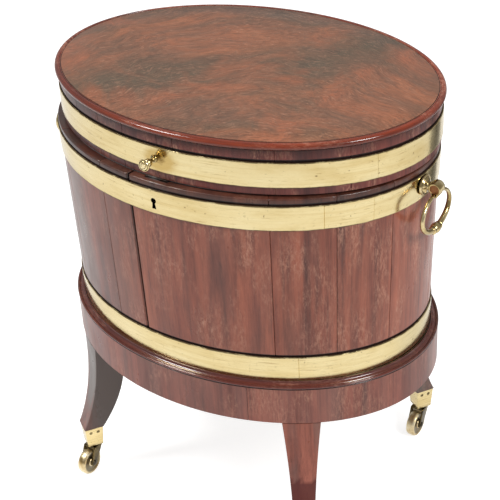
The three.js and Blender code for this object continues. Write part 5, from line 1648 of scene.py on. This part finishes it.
def make_light(name, azimuth, elevation, distance, size, power, glossy=True):
    data = bpy.data.lights.new(name, "AREA")
    data.shape = "DISK"
    data.size = size
    data.energy = power
    lamp = link_object(name, data)
    back = direction(azimuth, elevation)
    lamp.location = Vector((0, 0, LIGHT_TARGET_HEIGHT)) + distance * back
    lamp.rotation_euler = back.to_track_quat("Z", "Y").to_euler()
    lamp.visible_glossy = glossy


def add_stage(mesh, material):
    thing = link_object(mesh.name, mesh)
    mesh.materials.append(material)
    return thing


def make_card(name, azimuth, distance, width, shade):
    """A dark board at the studio's side: only glossy surfaces see it."""
    middle = distance * direction(azimuth, 0)
    across = Vector((math.cos(azimuth * DEGREE), math.sin(azimuth * DEGREE), 0)) * width / 2
    spots = [middle - across, middle + across]
    points = [Vector((spot.x, spot.y, z)) for z in (0, CARD_HEIGHT) for spot in spots]
    shader, weave = clouded(f"{name}_cloth", 40, 3, 0.5)
    color = shader.ramp(weave, [(0.4, (0.8 * shade,) * 3), (0.6, (shade,) * 3)])
    material = shader.surface(Base_Color=color, Roughness=0.9)
    card = add_stage(mesh_from(name, points, [(0, 1, 3, 2)]), material)
    card.visible_camera = False
    card.visible_diffuse = False
    card.visible_shadow = False


def make_world():
    """Even light from all round; the camera sees white, and gloss sees grey."""
    world = bpy.data.worlds.new("studio")
    world.use_nodes = True
    tree = world.node_tree
    tree.nodes.clear()
    rays = tree.nodes.new("ShaderNodeLightPath")
    total = None
    for output, share in WORLD_SHARES.items():
        step = tree.nodes.new("ShaderNodeMath")
        step.operation = "MULTIPLY_ADD"
        tree.links.new(rays.outputs[output], step.inputs[0])
        step.inputs[1].default_value = share - WORLD_LEVEL
        if total is None:
            step.inputs[2].default_value = WORLD_LEVEL
        else:
            tree.links.new(total, step.inputs[2])
        total = step.outputs[0]
    sky = tree.nodes.new("ShaderNodeBackground")
    sky.inputs["Color"].default_value = (1, 1, 1, 1)
    tree.links.new(total, sky.inputs["Strength"])
    output = tree.nodes.new("ShaderNodeOutputWorld")
    tree.links.new(sky.outputs[0], output.inputs["Surface"])
    bpy.context.scene.world = world


def make_floor():
    """A floor that the camera sees as white and gloss as grey, and that keeps the object's shadow."""
    half = FLOOR_HALF_WIDTH
    points = [(-half, -half, 0), (half, -half, 0), (half, half, 0), (-half, half, 0)]
    shader = Shader("white_floor")
    rays = shader.node("ShaderNodeLightPath").outputs
    in_gloss = shader.math("MULTIPLY", rays["Is Glossy Ray"], FLOOR_GLOSS_SHARE)
    seen = shader.math("ADD", rays["Is Camera Ray"], in_gloss, clamp=True)
    glow = shader.math("MULTIPLY", seen, FLOOR_GLOW)
    both = shader.node("ShaderNodeAddShader")
    paint = shader.node("ShaderNodeBsdfDiffuse", None, Color=(FLOOR_SHADE,) * 3)
    light = shader.node("ShaderNodeEmission", None, Color=(1, 1, 1), Strength=glow)
    for place, part in enumerate((paint, light)):
        shader.put(both.inputs[place], part.outputs[0])
    add_stage(mesh_from("floor", points, [(0, 1, 2, 3)]), shader.show(both))


make_camera()
make_light("key_light", azimuth=-48, elevation=50, distance=2.6, size=0.7, power=40)
make_light("fill_light", azimuth=74, elevation=38, distance=2.8, size=0.8, power=38)
make_light("top_light", azimuth=20, elevation=85, distance=2.4, size=2.2, power=22, glossy=False)
make_card("right_card_wide", azimuth=148, distance=0.95, width=0.42, shade=0.30)
make_card("right_card_narrow", azimuth=146, distance=0.85, width=0.06, shade=0.06)
make_world()
make_floor()

bpy.context.scene.view_settings.view_transform = "Standard"
